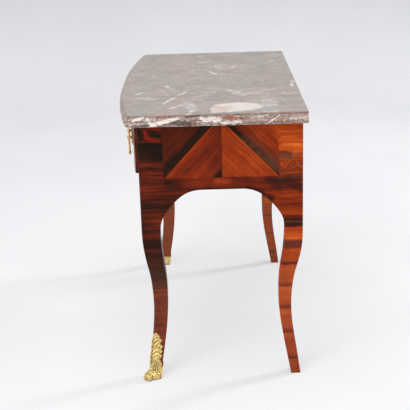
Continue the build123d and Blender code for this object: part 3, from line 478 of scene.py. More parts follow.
@dataclass(frozen=True)
class SideMarquetry:
    """Side panel of four matched sheets: two triangles that meet under the slab, and a level base strip."""

    name: str = "side marquetry"
    apex: Place = (0.0285, 0.8235)
    front_corner: Place = (-0.1365, 0.647)
    rear_corner: Place = (0.1995, 0.6465)
    seam: float = 0.0335
    cut: float = 0.0003
    outer_reach: float = 0.12
    front_outer: tuple[Place, ...] = stops((0, 6), (10, 5), (34, 28), (60, 34), (120, 22))
    rear_outer: tuple[Place, ...] = stops((0, 2), (10, 10), (20, 34), (50, 50), (120, 68))
    rear_inner: float = 0.56
    strip_middle: float = 0.36
    strip_stripes: tuple[Streak, ...] = streaks(
        (20, 634, 50, 634, 1, 18, 0.7, 0.58),
        (172, 636, 200, 622, 2, 24, 0.8, 0.12),
        (-136.5, 636, -90, 622, 1, 16, 0.6, 0.14),
        # Painted shade along the arch's rear shoulder.
        (110, 610, 176, 578, 2, 13, 0.8, 0.10),
    )
    ashes: tuple[Streak, ...] = streaks((112, 748, 190, 674, 6, 32))
    seam_tone: float = 0.12
    corner_tone: float = 0.06
    # Tone of the painted highlight along the inner side of each diagonal seam.
    seam_highlight_tone: float = 0.80
    polish: FrenchPolish = FrenchPolish()

    def half(self, graph: Graph, flat: Feed, corner: Place, inner: Feed, outer: tuple[Place, ...]) -> tuple:
        """One half of the panel, parted into two sheets by an edge from a corner to the apex.

        Args:
            graph: Node tree of the finish.
            flat: Place, waved along the grain.
            corner: Lower end of the edge.
            inner: Tone of the triangle.
            outer: Tones of the outer sheet by their distance from the edge.

        Returns:
            Sockets of the distance outside the edge, the share outside it, the tone and the grain.
        """
        run, rise = self.apex[0] - corner[0], self.apex[1] - corner[1]
        normal = Vector((-rise, run, 0) if run > 0 else (rise, -run, 0)).normalized()
        to_apex = graph.vector("SUBTRACT", graph.join(graph.y, graph.z), (*self.apex, 0))
        out = graph.vector("DOT_PRODUCT", to_apex, tuple(normal))
        outside = graph.rise(out, -self.cut, self.cut)
        tone = graph.blend(outside, inner, graph.levels(out, self.outer_reach, outer))
        turned = graph.turn(flat, (1, 0, 0), -math.degrees(math.atan2(rise, run)))
        return out, outside, tone, *self.polish.grain(graph, turned)

    def strip(self, graph: Graph, face: Feed, lift: Feed) -> Feed:
        """Tone of the base strip, which runs into the stripes of both stiles, with painted shade along the
        edge of the arch.

        Args:
            graph: Node tree of the finish.
            face: Place on the panel.
            lift: Height, waved along the grain.

        Returns:
            The tone's socket.
        """
        front, rear = (graph.levels(lift, STILE_HEIGHT, row) for row in (FRONT_STILE, REAR_STILE))
        tone = graph.blend(graph.rise(graph.y, self.front_corner[0], -0.02), front, self.strip_middle)
        tone = graph.blend(graph.rise(graph.y, 0.10, self.rear_corner[0]), tone, rear)
        tone = graph.tint(tone, face, self.strip_stripes)
        # Painted shade: a dark band along the edge of the arch, in the middle of the side.
        level = graph.times(graph.rise(graph.y, -0.075, -0.035), graph.rise(graph.y, 0.125, 0.085))
        under = graph.times(graph.rise(graph.z, 0.6190, 0.6110, 0, 0.7), level)
        return graph.blend(under, tone, 0.10)

    def material(self) -> Material:
        """Builds the marquetry of both sides.

        Returns:
            The side panels' material.
        """
        graph, polish, base_height = Graph(self.name), self.polish, self.front_corner[1]
        shift = graph.sway(graph.noise(26, 3), 0.010)
        lift = graph.plus(graph.z, shift)
        flat = graph.join(graph.x, graph.plus(graph.y, shift), lift)
        face = graph.join(graph.y, lift)
        rear_half = graph.rise(graph.y, self.seam - 0.0002, self.seam + 0.0002)
        front_inner = graph.rise(graph.y, self.seam - 0.060, self.seam, 0.46, 0.36)
        halves = (
            self.half(graph, flat, self.front_corner, front_inner, self.front_outer),
            self.half(graph, flat, self.rear_corner, self.rear_inner, self.rear_outer),
        )
        out, outside, tone, *grain = (graph.blend(rear_half, *pair) for pair in zip(*halves))
        lip = graph.calc("MULTIPLY_ADD", shift, 0.8, graph.z)
        base = graph.rise(lip, base_height + 0.0022, base_height - 0.0022)
        above = graph.less(1, base)
        grain = [graph.blend(base, *pair) for pair in zip(grain, polish.grain(graph, flat))]
        from_seam = graph.apart(graph.y, self.seam)
        # Darker in the corner where the centre seam meets the base strip, in the front half only.
        knot = graph.rise(graph.plus(from_seam, graph.less(graph.z, base_height)), 0.036, 0.014)
        tone = graph.blend(graph.times(knot, graph.less(1, rear_half)), tone, self.corner_tone)
        tone = graph.blend(base, tone, self.strip(graph, face, lift))
        tone = polish.figure(graph, tone, grain, 0.42, 0.55)
        seams = graph.calc("MINIMUM", graph.calc("ABSOLUTE", out), from_seam)
        line = graph.times(graph.rise(seams, 0.0010, 0.0004), above, 0.6)
        # Painted highlight: a pale line 1.6 mm inside each diagonal seam, stronger towards the top, not on
        # the base strip.
        seam_highlight = graph.rise(graph.apart(out, -0.0016), 0.0016, 0.0004)
        seam_highlight = graph.times(seam_highlight, above, graph.rise(graph.z, 0.675, 0.72, 0.15, 0.75))
        for share, over in ((line, self.seam_tone), (seam_highlight, self.seam_highlight_tone)):
            tone = graph.blend(share, tone, over)
        ragged = graph.rise(graph.noise(30, 4, 0.6), 0.34, 0.58, 0.35, 1)
        ash = graph.times(
            graph.gather(face, self.ashes), ragged, outside, graph.rise(grain[1], 0.3, 0.6, 0.3, 0.7)
        )
        inwards = graph.calc("LESS_THAN", graph.times(graph.facing_x, graph.x), 0)
        return polish.lay(graph, tone, grain[2], inwards, ash=ash)


@dataclass(frozen=True)
class DrawerMarquetry:
    """Drawer front of two matched sheets inside a cross-banded border that follows the apron."""

    name: str = "drawer marquetry"
    border: float = 0.030
    half_width: float = 0.408
    top: float = 0.802
    apron: float = 0.585
    lower_edge: tuple[Place, ...] = (
        (0.0, 0.0), (0.08, 0.007), (0.17, 0.028), (0.27, 0.040), (0.35, 0.047), (0.408, 0.060),
    )
    slant: float = 38
    sheet_tone: float = 0.56
    border_tone: float = 0.38
    line_tone: float = 0.06
    polish: FrenchPolish = FrenchPolish()

    def material(self) -> Material:
        """Builds the marquetry of the drawer front.

        Returns:
            The drawer front's material.
        """
        graph, polish = Graph(self.name), self.polish
        side = graph.calc("ABSOLUTE", graph.x)
        edge = graph.levels(side, self.half_width, self.lower_edge)
        above = graph.less(graph.less(graph.z, self.apron), edge)
        from_end, from_top = graph.less(self.half_width, side), graph.less(self.top, graph.z)
        inset = graph.calc("MINIMUM", graph.calc("MINIMUM", above, from_end), from_top)
        border = graph.rise(inset, self.border + 0.0003, self.border - 0.0003)
        upright = graph.calc("LESS_THAN", graph.calc("MINIMUM", above, from_top), from_end)
        shift = graph.sway(graph.noise(18, 3), 0.014)
        flat = graph.join(graph.plus(side, shift), graph.y, graph.plus(graph.z, shift))
        slanted, standing = (
            polish.grain(graph, graph.turn(flat, (0, 1, 0), angle)) for angle in (self.slant, 90)
        )
        grain = [
            graph.blend(border, sheet, graph.blend(upright, *bands))
            for sheet, *bands in zip(slanted, polish.grain(graph, flat), standing)
        ]
        tone = graph.blend(border, self.sheet_tone, self.border_tone)
        tone = polish.figure(graph, tone, grain, 1.0, 0.5)
        line = graph.rise(graph.apart(inset, self.border), 0.0012, 0.0005)
        centre = graph.times(graph.rise(side, 0.0010, 0.0004), graph.less(1, border))
        tone = graph.blend(graph.times(graph.calc("MAXIMUM", line, centre), 0.7), tone, self.line_tone)
        return polish.lay(graph, tone, grain[2], graph.rise(graph.facing_y, 0.3, 0.6))


@dataclass(frozen=True)
class BrecciaMarble:
    """Warm grey marble with white streaks on its top and strong cream and red-brown mixing at its edge."""

    name: str = "marble"
    pink_grey: Colour = paint(158, 143, 136)
    green_grey: Colour = paint(147, 141, 132)
    dusk: Colour = paint(128, 116, 109)
    cloud: Colour = paint(180, 168, 161)
    speck: Colour = paint(204, 194, 188)
    white: Colour = paint(226, 222, 217)
    mist: Colour = paint(190, 192, 187)
    cream: Colour = paint(206, 198, 189)
    blush: Colour = paint(190, 170, 159)
    rust: Colour = paint(132, 78, 62)
    umber: Colour = paint(66, 42, 36)
    tan: Colour = paint(156, 128, 111)
    chip: Colour = paint(226, 216, 204)
    edge_red: Colour = paint(170, 92, 70)
    edge_cream: Colour = paint(236, 228, 218)
    edge_white: Colour = paint(244, 240, 236)
    top: float = 0.840
    white_veins: tuple[Streak, ...] = streaks(
        (-169, -73, -156, -46, 1, 5, 0.8),
        (-143, -14, -83, 29, 2, 6, 0.9),
        (213, -230, 180, -201, 2, 4),
        (289, -192, 267, -147, 1, 3, 0.8),
        (350, -135, 259, -99, 2, 4),
        (259, -99, 190, -72, 1, 4, 0.8),
        (230, 114, 177, 211, 1, 3, 0.9),
        (257, 98, 223, 167, 1, 3, 0.8),
        (439, -45, 499, -62, 2, 4, 0.9),
        (90, -138, 155, -114, 2, 7, 0.6),
        (418, -113, 382, -90, 3, 6, 0.7),
        (69, 270, 147, 273, 3, 6, 0.7),
        (-327, 12, -293, -25, 2, 6, 0.5),
    )
    mists: tuple[Streak, ...] = streaks(
        (180, 72, 272, 106, 6, 14, 0.8),
        (346, -64, 439, -45, 8, 14, 0.8),
        (340, 180, 470, 176, 16, 16, 0.8),
        (-245, 39, -169, 52, 6, 14, 0.6),
        (-313, 228, -251, 245, 6, 16, 0.6),
    )
    creams: tuple[Streak, ...] = streaks(
        (420, 62, 410, 100, 50, 12),
        (466, 22, 452, 56, 14, 8),
        (425, 108, 432, 134, 12, 10),
    )
    edge_creams: tuple[Streak, ...] = streaks(
        (-166, 814, -92, 830, 3.5, 2.5),
        (-24, 828, 28, 823, 4, 2.5),
        (30, 816, 92, 815, 1.2, 2),
        (-215, 828, -190, 834, 2, 3),
    )
    edge_veins: tuple[Streak, ...] = streaks(
        (-179, 833, -157, 803, 1, 1.6),
        (161, 808, 201, 832, 0.6, 1.6, 0.9),
        (228, 822, 280, 824, 0.6, 1.6, 0.9),
        (120, 826, 170, 834, 0.4, 1.4, 0.7),
    )
    edge_darks: tuple[Streak, ...] = streaks(
        (-108, 820, -52, 813, 4, 3, 0.9),
        (-70, 832, -25, 836, 1.4, 2.4, 0.8),
        (-215, 812, -180, 812, 3, 3, 0.8),
        (100, 812, 240, 814, 1, 3, 0.6),
    )
    edge_reds: tuple[Streak, ...] = streaks(
        (50, 830, 78, 826, 3, 3, 0.9),
        (-150, 836, -118, 836, 1, 2.4, 0.8),
    )

    def upper(self, graph: Graph, ragged: Feed, mottle: Feed) -> Feed:
        """Colour of the top.

        Args:
            graph: Node tree of the finish.
            ragged: Noise that frays the borders of patches.
            mottle: Fine noise.

        Returns:
            The colour's socket.
        """
        large = graph.noise(8, 4, 0.6, 0.8)
        clouds = graph.noise((26, 14.3, 26), 3, 0.55, 0.3)
        soft = graph.noise((60, 36, 60), 3, 0.6, 0.3)
        patch = graph.join(graph.sway(ragged, 0.045, graph.x), graph.sway(ragged, -0.0315, graph.y))
        wander = graph.sway(graph.noise(17, 3, 0.6), 0.050, graph.sway(ragged, 0.014))
        line = graph.join(graph.plus(graph.x, wander), graph.less(graph.y, wander))
        broken = graph.rise(clouds, 0.34, 0.56, 0.35, 1)
        bent = graph.vector("ADD", graph.place, graph.join(wander, graph.times(large, 0.2)))
        threads = graph.times(
            graph.rise(graph.cells(bent, (8, 19.2, 8)), 0.022, 0.004),
            graph.rise(graph.noise(7, 3), 0.46, 0.60),
            0.5,
        )
        fog = graph.rise(graph.noise(64, 4, 0.7, 0.6), 0.38, 0.60, 0.12, 1)
        fog = graph.times(fog, graph.gather(patch, self.mists), broken)
        cream = graph.mix(graph.rise(graph.noise(14, 4), 0.46, 0.70), self.cream, self.blush)
        pale = graph.calc("MAXIMUM", graph.gather(line, self.white_veins), threads)
        worn = graph.rise(graph.noise(90, 3, 0.7), 0.34, 0.56, 0.5, 1)
        return graph.cover(
            self.green_grey,
            (graph.rise(large, 0.42, 0.58), self.pink_grey),
            (graph.rise(clouds, 0.56, 0.36, 0, 0.45), self.dusk),
            (graph.rise(soft, 0.50, 0.70, 0, 0.45), self.cloud),
            (graph.rise(mottle, 0.52, 0.72, 0, 0.16), self.speck),
            (fog, self.mist),
            (graph.gather(patch, self.creams), cream),
            (graph.times(pale, broken, worn), self.white),
        )

    def rim(self, graph: Graph, ragged: Feed, mottle: Feed) -> Feed:
        """Colour of the moulded edge.

        Args:
            graph: Node tree of the finish.
            ragged: Noise that frays the borders of patches.
            mottle: Fine noise.

        Returns:
            The colour's socket.
        """
        blocks = graph.noise((44, 44, 105.6), 6, 0.72, 1.4)
        torn = graph.noise((150, 105, 195), 4, 0.75, 0.6)
        clumps = graph.noise(34, 3, 0.6)
        busy = graph.rise(graph.y, 0.16, 0.04, 0.6, 1.0)
        dark = graph.times(graph.rise(torn, 0.47, 0.38), graph.rise(clumps, 0.60, 0.44, 0.25, 1.0), busy)
        light = graph.times(graph.rise(torn, 0.53, 0.61), graph.rise(clumps, 0.40, 0.56, 0.2, 1.0), busy)
        fray = graph.sway(torn, 0.014, graph.sway(ragged, 0.016))
        place = graph.join(graph.calc("MULTIPLY_ADD", fray, 2.5, graph.y), graph.plus(graph.z, fray))
        whole = graph.rise(torn, 0.36, 0.50, 0.3, 0.95)
        veins = (
            (self.edge_darks, self.umber),
            (self.edge_reds, self.edge_red),
            (self.edge_creams, self.edge_cream),
            (self.edge_veins, self.edge_white),
        )
        row = (self.umber, self.rust, self.tan, self.dusk, self.cream, self.tan, self.rust)
        return graph.cover(
            graph.ramp(blocks, tuple(zip((0.32, 0.41, 0.47, 0.53, 0.58, 0.63, 0.72), row))),
            (
                graph.rise(graph.y, 0.06, 0.14, 0.1, 0.45),
                graph.mix(graph.rise(mottle, 0.40, 0.62), self.tan, self.blush),
            ),
            (dark, self.umber),
            (light, self.chip),
            # Painted shade: the top 5 mm of the edge, under the slab's arris, is half covered by rust and
            # tan, fading out by 7.5 mm.
            (
                graph.rise(graph.z, self.top - 0.0075, self.top - 0.0050, 0, 0.5),
                graph.mix(graph.rise(blocks, 0.4, 0.6), self.rust, self.tan),
            ),
            *((graph.times(graph.gather(place, row), whole), colour) for row, colour in veins),
        )

    def material(self) -> Material:
        """Builds the marble.

        Returns:
            The slab's material.
        """
        graph = Graph(self.name)
        ragged = graph.noise(42, 4, 0.65)
        mottle = graph.noise(120, 5, 0.7, 0.6)
        below = graph.rise(graph.z, self.top - 0.0008, self.top - 0.0030)
        colour = graph.mix(below, self.upper(graph, ragged, mottle), self.rim(graph, ragged, mottle))
        graph.bump(graph.noise(9, 2), 0.0002, 0.05)
        return graph.finish(
            Base_Color=colour,
            Roughness=graph.rise(ragged, 0.3, 0.7, 0.36, 0.42),
            Specular_IOR_Level=0.30,
            Coat_Weight=0.05,
            Coat_Roughness=0.20,
        )


@dataclass(frozen=True)
class GiltBronze:
    """Chased and gilt bronze, with painted highlights on its high places and painted shade in its hollows."""

    name: str = "gilt bronze"
    gold: Colour = paint(226, 192, 112)
    # Colour of the painted highlights on the high places.
    painted_highlight: Colour = paint(255, 242, 186)
    # Colour of the painted shade in the hollows, and of fine random dark specks.
    shade_and_speck: Colour = paint(84, 58, 22)
    reach: float = 0.006

    def material(self) -> Material:
        """Builds the gilding.

        Returns:
            The material of shoes, handles and escutcheon.
        """
        graph = Graph(self.name)
        # Painted shade: where ambient occlusion finds a hollow, the gold gives way to dark brown.
        hidden = graph.feed(graph.node("AmbientOcclusion", samples=6), Distance=self.reach)
        high = graph.rise(hidden.outputs["AO"], 0.40, 0.92)
        # Noise that places the painted highlights and varies the roughness.
        glint_and_wear = graph.noise(240, 4, 0.6)
        colour = graph.cover(
            self.shade_and_speck,
            (high, self.gold),
            # Painted highlights: pale gold in noisy patches where no hollow is.
            (graph.times(graph.rise(glint_and_wear, 0.48, 0.62), high, 0.85), self.painted_highlight),
            # Fine dark specks at random, in the same brown.
            (graph.rise(graph.noise(330, 3, 0.7), 0.44, 0.36, 0, 0.55), self.shade_and_speck),
        )
        graph.bump(graph.noise(520, 3, 0.6), 0.0004, 0.4)
        return graph.finish(Base_Color=colour, Metallic=1.0, Roughness=graph.rise(glint_and_wear, 0.3, 0.7, 0.38, 0.20))


@dataclass(frozen=True)
class PlainTimber:
    """Oak and pine that no veneer covers, dulled by age. The grain runs where `along` is least."""

    name: str
    along: tuple[float, float, float]
    light: Colour = paint(164, 118, 74)
    dark: Colour = paint(104, 66, 38)
    dirt: Colour = paint(70, 46, 30)

    def material(self) -> Material:
        """Builds the bare wood.

        Returns:
            The boards' material.
        """
        graph = Graph(self.name)
        fibre = graph.noise(tuple(9 * value for value in self.along), 3)
        dirt = graph.noise(9, 4)
        share = graph.sway(fibre, 0.6, graph.noise(self.along, 4, 0.6, 0.7))
        colour = graph.mix(graph.rise(share, 0.32, 0.68), self.light, self.dark)
        colour = graph.mix(graph.rise(dirt, 0.5, 0.8, 0, 0.35), colour, self.dirt)
        graph.bump(fibre, 0.0003, 0.4)
        return graph.finish(Base_Color=colour, Roughness=graph.rise(dirt, 0.3, 0.7, 0.62, 0.8))


@dataclass(frozen=True)
class FiledIron:
    """Iron of the lock, filed by hand and browned."""

    name: str = "lock iron"
    filed: Colour = paint(96, 92, 88)
    browned: Colour = paint(92, 56, 36)

    def material(self) -> Material:
        """Builds the iron.

        Returns:
            The lock's material.
        """
        graph = Graph(self.name)
        rust = graph.rise(graph.noise(90, 5, 0.65), 0.48, 0.68)
        graph.bump(graph.noise((40, 40, 900), 2), 0.0002, 0.5)
        return graph.finish(
            Base_Color=graph.mix(rust, self.filed, self.browned),
            Metallic=graph.rise(rust, 0, 1, 1, 0.3),
            Roughness=graph.rise(rust, 0, 1, 0.36, 0.7),
        )


@dataclass
class Form:
    """Collects the points and faces of one piece, such as its rods, petals and beads."""

    points: list[Vector] = field(default_factory=list)
    faces: list[tuple[int, ...]] = field(default_factory=list)

    def rod(self, line: list[Vector], radii: list[float], sides: int, up: Vector | None = None) -> None:
        """Adds a rounded rod along a line.

        Args:
            line: Points of its middle.
            radii: Its radius at each point.
            sides: Faces round it.
            up: A direction that isn't along it.
        """
        start, last = len(self.points), len(line) - 1
        guide = up or Vector((0, 0, 1))
        for index, (centre, radius) in enumerate(zip(line, radii)):
            ahead = (line[min(index + 1, last)] - line[max(index - 1, 0)]).normalized()
            across = ahead.cross(guide)
            if across.length < 1e-6:
                across = ahead.orthogonal()
            across.normalize()
            height = across.cross(ahead)
            for angle in (math.tau * step / sides for step in range(sides)):
                spoke = across * math.cos(angle) + height * math.sin(angle)
                self.points.append(centre + spoke * radius)
        for low in range(start, start + last * sides, sides):
            for step in range(sides):
                after = (step + 1) % sides
                self.faces.append((low + step, low + after, low + sides + after, low + sides + step))
        self.faces.append(tuple(start + step for step in reversed(range(sides))))
        self.faces.append(tuple(start + last * sides + step for step in range(sides)))

    def bead(self, centre: Vector, radius: float, axis: Vector, height: float) -> None:
        """Adds a round bead or a button.

        Args:
            centre: Its middle.
            radius: Its radius.
            axis: Its axis.
            height: Half its height along the axis.
        """
        turns = even(-math.pi / 2, math.pi / 2, 6)
        line = [centre + axis * height * math.sin(turn) for turn in turns]
        self.rod(line, [radius * max(math.cos(turn), 0.05) for turn in turns], 12, axis.orthogonal())

    def petal(
        self, root: Vector, tip: Vector, width: float, crown: Vector, thick: float, curl: float
    ) -> None:
        """Adds a lobe of a leaf: widest past its middle, ridged, with a tip that curls off the ground.

        Args:
            root: Middle of its lower end.
            tip: Its tip.
            width: Its greatest half width.
            crown: Unit vector away from the ground.
            thick: Height of its ridge.
            curl: How far the tip lifts.
        """
        rows, columns, depth = 8, 6, 0.0006
        stride = columns + 1
        side = (tip - root).normalized().cross(crown).normalized()
        start = len(self.points)
        under = start + (rows + 1) * stride
        for upper in (True, False):
            for share in even(0, 1, rows):
                reach = width * (0.45 + 0.55 * math.sin(math.pi * min(share * 1.15, 1)) ** 0.8)
                reach *= 1 - share**3.2
                middle = root.lerp(tip, share) + crown * (curl * share**2.5 - (0 if upper else depth))
                for across in even(-1, 1, columns):
                    ridge = (1 - abs(across) ** 1.5) * (1 - 0.65 * share)
                    groove = 0.25 * math.exp(-((across * 6) ** 2))
                    high = thick * (ridge - groove) if upper else 0
                    self.points.append(middle + side * across * reach + crown * high)
        for low in (row * stride + column for row in range(rows) for column in range(columns)):
            corners = (low, low + 1, low + stride + 1, low + stride)
            self.faces.append(tuple(start + corner for corner in corners))
            self.faces.append(tuple(under + corner for corner in (corners[0], *corners[:0:-1])))
        rim = [(row, 0) for row in range(rows)] + [(rows, column) for column in range(columns)]
        rim += [(row, columns) for row in range(rows, 0, -1)]
        rim += [(0, column) for column in range(columns, 0, -1)]
        edge = [row * stride + column for row, column in rim]
        for one, two in zip(edge, edge[1:] + edge[:1]):
            self.faces.append((start + one, start + two, under + two, under + one))

    def piece(self, name: str, material: Material) -> bpy.types.Object:
        """Makes a mesh object of the form.

        Args:
            name: Name of the piece.
            material: Its finish.

        Returns:
            The new object.
        """
        mesh = bpy.data.meshes.new(name)
        mesh.from_pydata([tuple(point) for point in self.points], [], self.faces)
        mesh.validate()
        body = bmesh.new()
        body.from_mesh(mesh)
        bmesh.ops.remove_doubles(body, verts=body.verts, dist=1e-6)
        bmesh.ops.recalc_face_normals(body, faces=body.faces)
        for face in body.faces:
            face.smooth = True
        body.to_mesh(mesh)
        body.free()
        mesh.materials.append(material)
        piece = bpy.data.objects.new(name, mesh)
        bpy.context.scene.collection.objects.link(piece)
        return piece


class Handing(Enum):
    """The two ends of the commode."""

    RIGHT = 1
    LEFT = -1

    @property
    def word(self) -> str:
        """The end's name in a node's name."""
        return self.name.lower()


class FootFace(Enum):
    """The two outer faces of a front foot."""

    SIDE = "side"
    FRONT = "front"


@dataclass
class BronzeShoe:
    """Chased work on the shoe of one front foot: a leaf up the corner, a reeded collar and a scrolled toe."""

    end: Handing
    gilding: Material
    foot: Place = (0.48724, -0.20174)
    toe_angle: float = 38.0
    scroll_reach: float = 0.013
    scroll_radius: float = 0.010
    scroll_half: float = 0.0115
    rib_heights: Place = (0.050, 0.142)
    rib_radii: Place = (0.0030, 0.0010)
    leaf_lift: float = 0.0004
    lobe_root: float = 0.003
    lobe_width: float = 0.0052
    lobe_ridge: float = 0.0034
    lobe_curl: float = 0.0020
    vein_lifts: Place = (0.0030, 0.0012)
    vein_radii: Place = (0.0011, 0.0005)
    roll_radius: float = 0.0017
    reeds: int = 5
    reed_low: float = 0.0035
    reed_start: float = 0.0035
    reed_spacing: float = 0.0058
    reed_radius: float = 0.0015
    reed_swell: float = 0.0012
    bead_place: Place = (0.009, 0.060)
    bead_size: Place = (0.0038, 0.0026)
    volute_radius: float = 0.0054
    volute_wire: Place = (0.0011, 0.0007)
    volute_eye: Place = (0.0016, 0.0010)
    swell_radius: float = 0.0098
    barrel_ribs: tuple[float, ...] = (-0.0070, -0.0035, 0.0, 0.0035, 0.0070)
    outmost: float = 0.5075
    arch: tuple[Place, ...] = ((0.000, 0.049), (0.008, 0.054), (0.016, 0.053), (0.023, 0.049), (0.029, 0.043))
    lobes: tuple[tuple[float, float, float], ...] = (
        (0.131, 0.0146, 0.113),
        (0.1195, 0.0232, 0.098),
        (0.0994, 0.0282, 0.080),
        (0.085, 0.0297, 0.067),
        (0.0706, 0.0303, 0.055),
    )

    def __post_init__(self) -> None:
        """Finds the surfaces that the chasing lies on."""
        points, faces = [], []
        for node in ("shoe", "leg_front"):
            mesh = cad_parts[f"{node}_{self.end.word}"].data
            faces += [tuple(len(points) + index for index in face.vertices) for face in mesh.polygons]
            points += [vertex.co.copy() for vertex in mesh.vertices]
        self.surface = BVHTree.FromPolygons(points, faces)

    def on_side(self, y: float, z: float) -> Vector | None:
        """The place at a Y and a height on the outer side of the foot, or None beyond it."""
        start = Vector((self.end.value * 0.7, y, z))
        return self.surface.ray_cast(start, Vector((-self.end.value, 0, 0)))[0]

    def on_front(self, x: float, z: float) -> Vector | None:
        """The place at a distance from the commode's middle and a height on the foot's front, or None."""
        return self.surface.ray_cast(Vector((self.end.value * x, -0.6, z)), Vector((0, 1, 0)))[0]

    def corner(self, z: float) -> Place:
        """X and Y of the foot's outer corner at a height.

        Args:
            z: The height.

        Returns:
            Its distance from the middle of the commode, and its Y.
        """
        fronts = (self.on_front(0.44 + step * 0.005, z) for step in range(12))
        front = min((hit.y for hit in fronts if hit), default=-0.2)
        sides = (self.on_side(front + step * 0.003, z) for step in range(16))
        return max((abs(hit.x) for hit in sides if hit), default=0.47), front

    def on_face(self, face: FootFace, away: float, z: float, lift: float) -> Vector | None:
        """A place by its distance from the corner along one of the outer faces.

        Args:
            face: The face.
            away: Distance from the corner.
            z: Its height.
            lift: How far it is before the surface.

        Returns:
            The place, or None beyond the face.
        """
        outer, front = self.corner(z)
        hit = self.on_side(front + away, z) if face is FootFace.SIDE else self.on_front(outer - away, z)
        return hit + self.crown(face) * lift if hit else None

    def crown(self, face: FootFace) -> Vector:
        """Unit vector out of one of the two outer faces."""
        return Vector((self.end.value, 0, 0)) if face is FootFace.SIDE else Vector((0, -1, 0))

    def toe(self, out: float, across: float, up: float) -> Vector:
        """A place by its distances from the foot's corner, on axes turned to the toe.

        Args:
            out: Towards the toe.
            across: Across the toe.
            up: Height.

        Returns:
            The place.
        """
        turn = math.radians(self.toe_angle)
        x = self.foot[0] + out * math.cos(turn) + across * math.sin(turn)
        y = self.foot[1] - out * math.sin(turn) + across * math.cos(turn)
        return Vector((self.end.value * x, y, up))

    def leaf(self, form: Form) -> None:
        """Adds the midrib on the corner and the lobes to both sides of it.

        Args:
            form: Mesh that the chasing goes into.
        """
        steps, lift, sign = 14, self.leaf_lift / 2, self.end.value
        corners = ((*self.corner(z), z) for z in even(*self.rib_heights, steps))
        rib = [Vector((sign * (x + lift), y - lift, z)) for x, y, z in corners]
        form.rod(rib, even(*self.rib_radii, steps), 8)
        for tip_z, tip_away, root_z in self.lobes:
            for face in FootFace:
                root = self.on_face(face, self.lobe_root, root_z, self.leaf_lift)
                tip = self.on_face(face, tip_away - 0.0012, tip_z - 0.001, self.leaf_lift)
                if root is None or tip is None:
                    continue
                crown = self.crown(face)
                form.petal(root, tip, self.lobe_width, crown, self.lobe_ridge, self.lobe_curl)
                lifts = zip(even(0, 1, 6), even(*self.vein_lifts, 6))
                vein = [root.lerp(tip, share) + crown * lift for share, lift in lifts]
                form.rod(vein, even(*self.vein_radii, 6), 6)

    def collar(self, form: Form) -> None:
        """Adds the reeds of the collar, the roll along its arched top and a bead before the leaf.

        Args:
            form: Mesh that the chasing goes into.
        """
        for face in FootFace:
            crown = self.crown(face)
            roll = [self.on_face(face, away, z, 0.0006) for away, z in self.arch]
            roll = [place for place in roll if place is not None]
            form.rod(roll, [self.roll_radius] * len(roll), 8)
            for away in (self.reed_start + index * self.reed_spacing for index in range(self.reeds)):
                limits = zip(self.arch, self.arch[1:])
                top = next(z for (_, z), (limit, _) in limits if away <= limit + 0.0001)
                line = [self.on_face(face, away, z, 0.0) for z in even(self.reed_low, top, 7)]
                line = [place for place in line if place is not None and abs(place.x) < self.outmost]
                if len(line) > 4:
                    bulge = (math.sin(turn) for turn in even(0, math.pi, len(line) - 1))
                    form.rod(line, [self.reed_radius + self.reed_swell * share for share in bulge], 8, crown)
            place = self.on_face(face, *self.bead_place, 0.001)
            if place is not None:
                radius, half = self.bead_size
                form.bead(place, radius, crown, half)

    def scroll(self, form: Form) -> None:
        """Adds a volute to each end of the toe's scroll, ribs round its barrel and a swell across it.

        Args:
            form: Mesh that the chasing goes into.
        """
        reach, radius, half = self.scroll_reach, self.scroll_radius, self.scroll_half
        axis = (self.toe(0, 1, 0) - self.toe(0, 0, 0)).normalized()
        for across in (-half, half):
            line = []
            for share in even(0, 1, 32):
                angle, away = math.tau * (0.3 + 1.75 * share), self.volute_radius * (1 - 0.78 * share)
                line.append(self.toe(reach + away * math.cos(angle), across, radius + away * math.sin(angle)))
            form.rod(line, even(*self.volute_wire, 32), 6)
            eye, eye_half = self.volute_eye
            form.bead(self.toe(reach, across, radius), eye, axis, eye_half)
        steps = range(-8, 9)
        swell = [self.toe(reach - 0.011 + 0.0012 * abs(step) / 8, 0.0020 * step, 0.0105) for step in steps]
        form.rod(swell, [self.swell_radius * math.sqrt(1 - (step / 9.2) ** 2) for step in steps], 14)
        turns = even(math.radians(-40), math.radians(200), 16)
        for across in self.barrel_ribs:
            away = radius + (0.0002 if abs(across) < 0.006 else -0.0005)
            line = [self.toe(reach + away * math.cos(t), across, radius + away * math.sin(t)) for t in turns]
            form.rod(line, [0.0004 + 0.0008 * math.sin(turn) for turn in even(0, math.pi, 16)], 6)

    def build(self) -> bpy.types.Object:
        """Builds the chasing of this shoe.

        Returns:
            The piece, which rides on the case.
        """
        form = Form()
        self.leaf(form)
        self.collar(form)
        self.scroll(form)
        piece = form.piece(f"shoe_chasing_{self.end.word}", self.gilding)
        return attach(piece, "case")


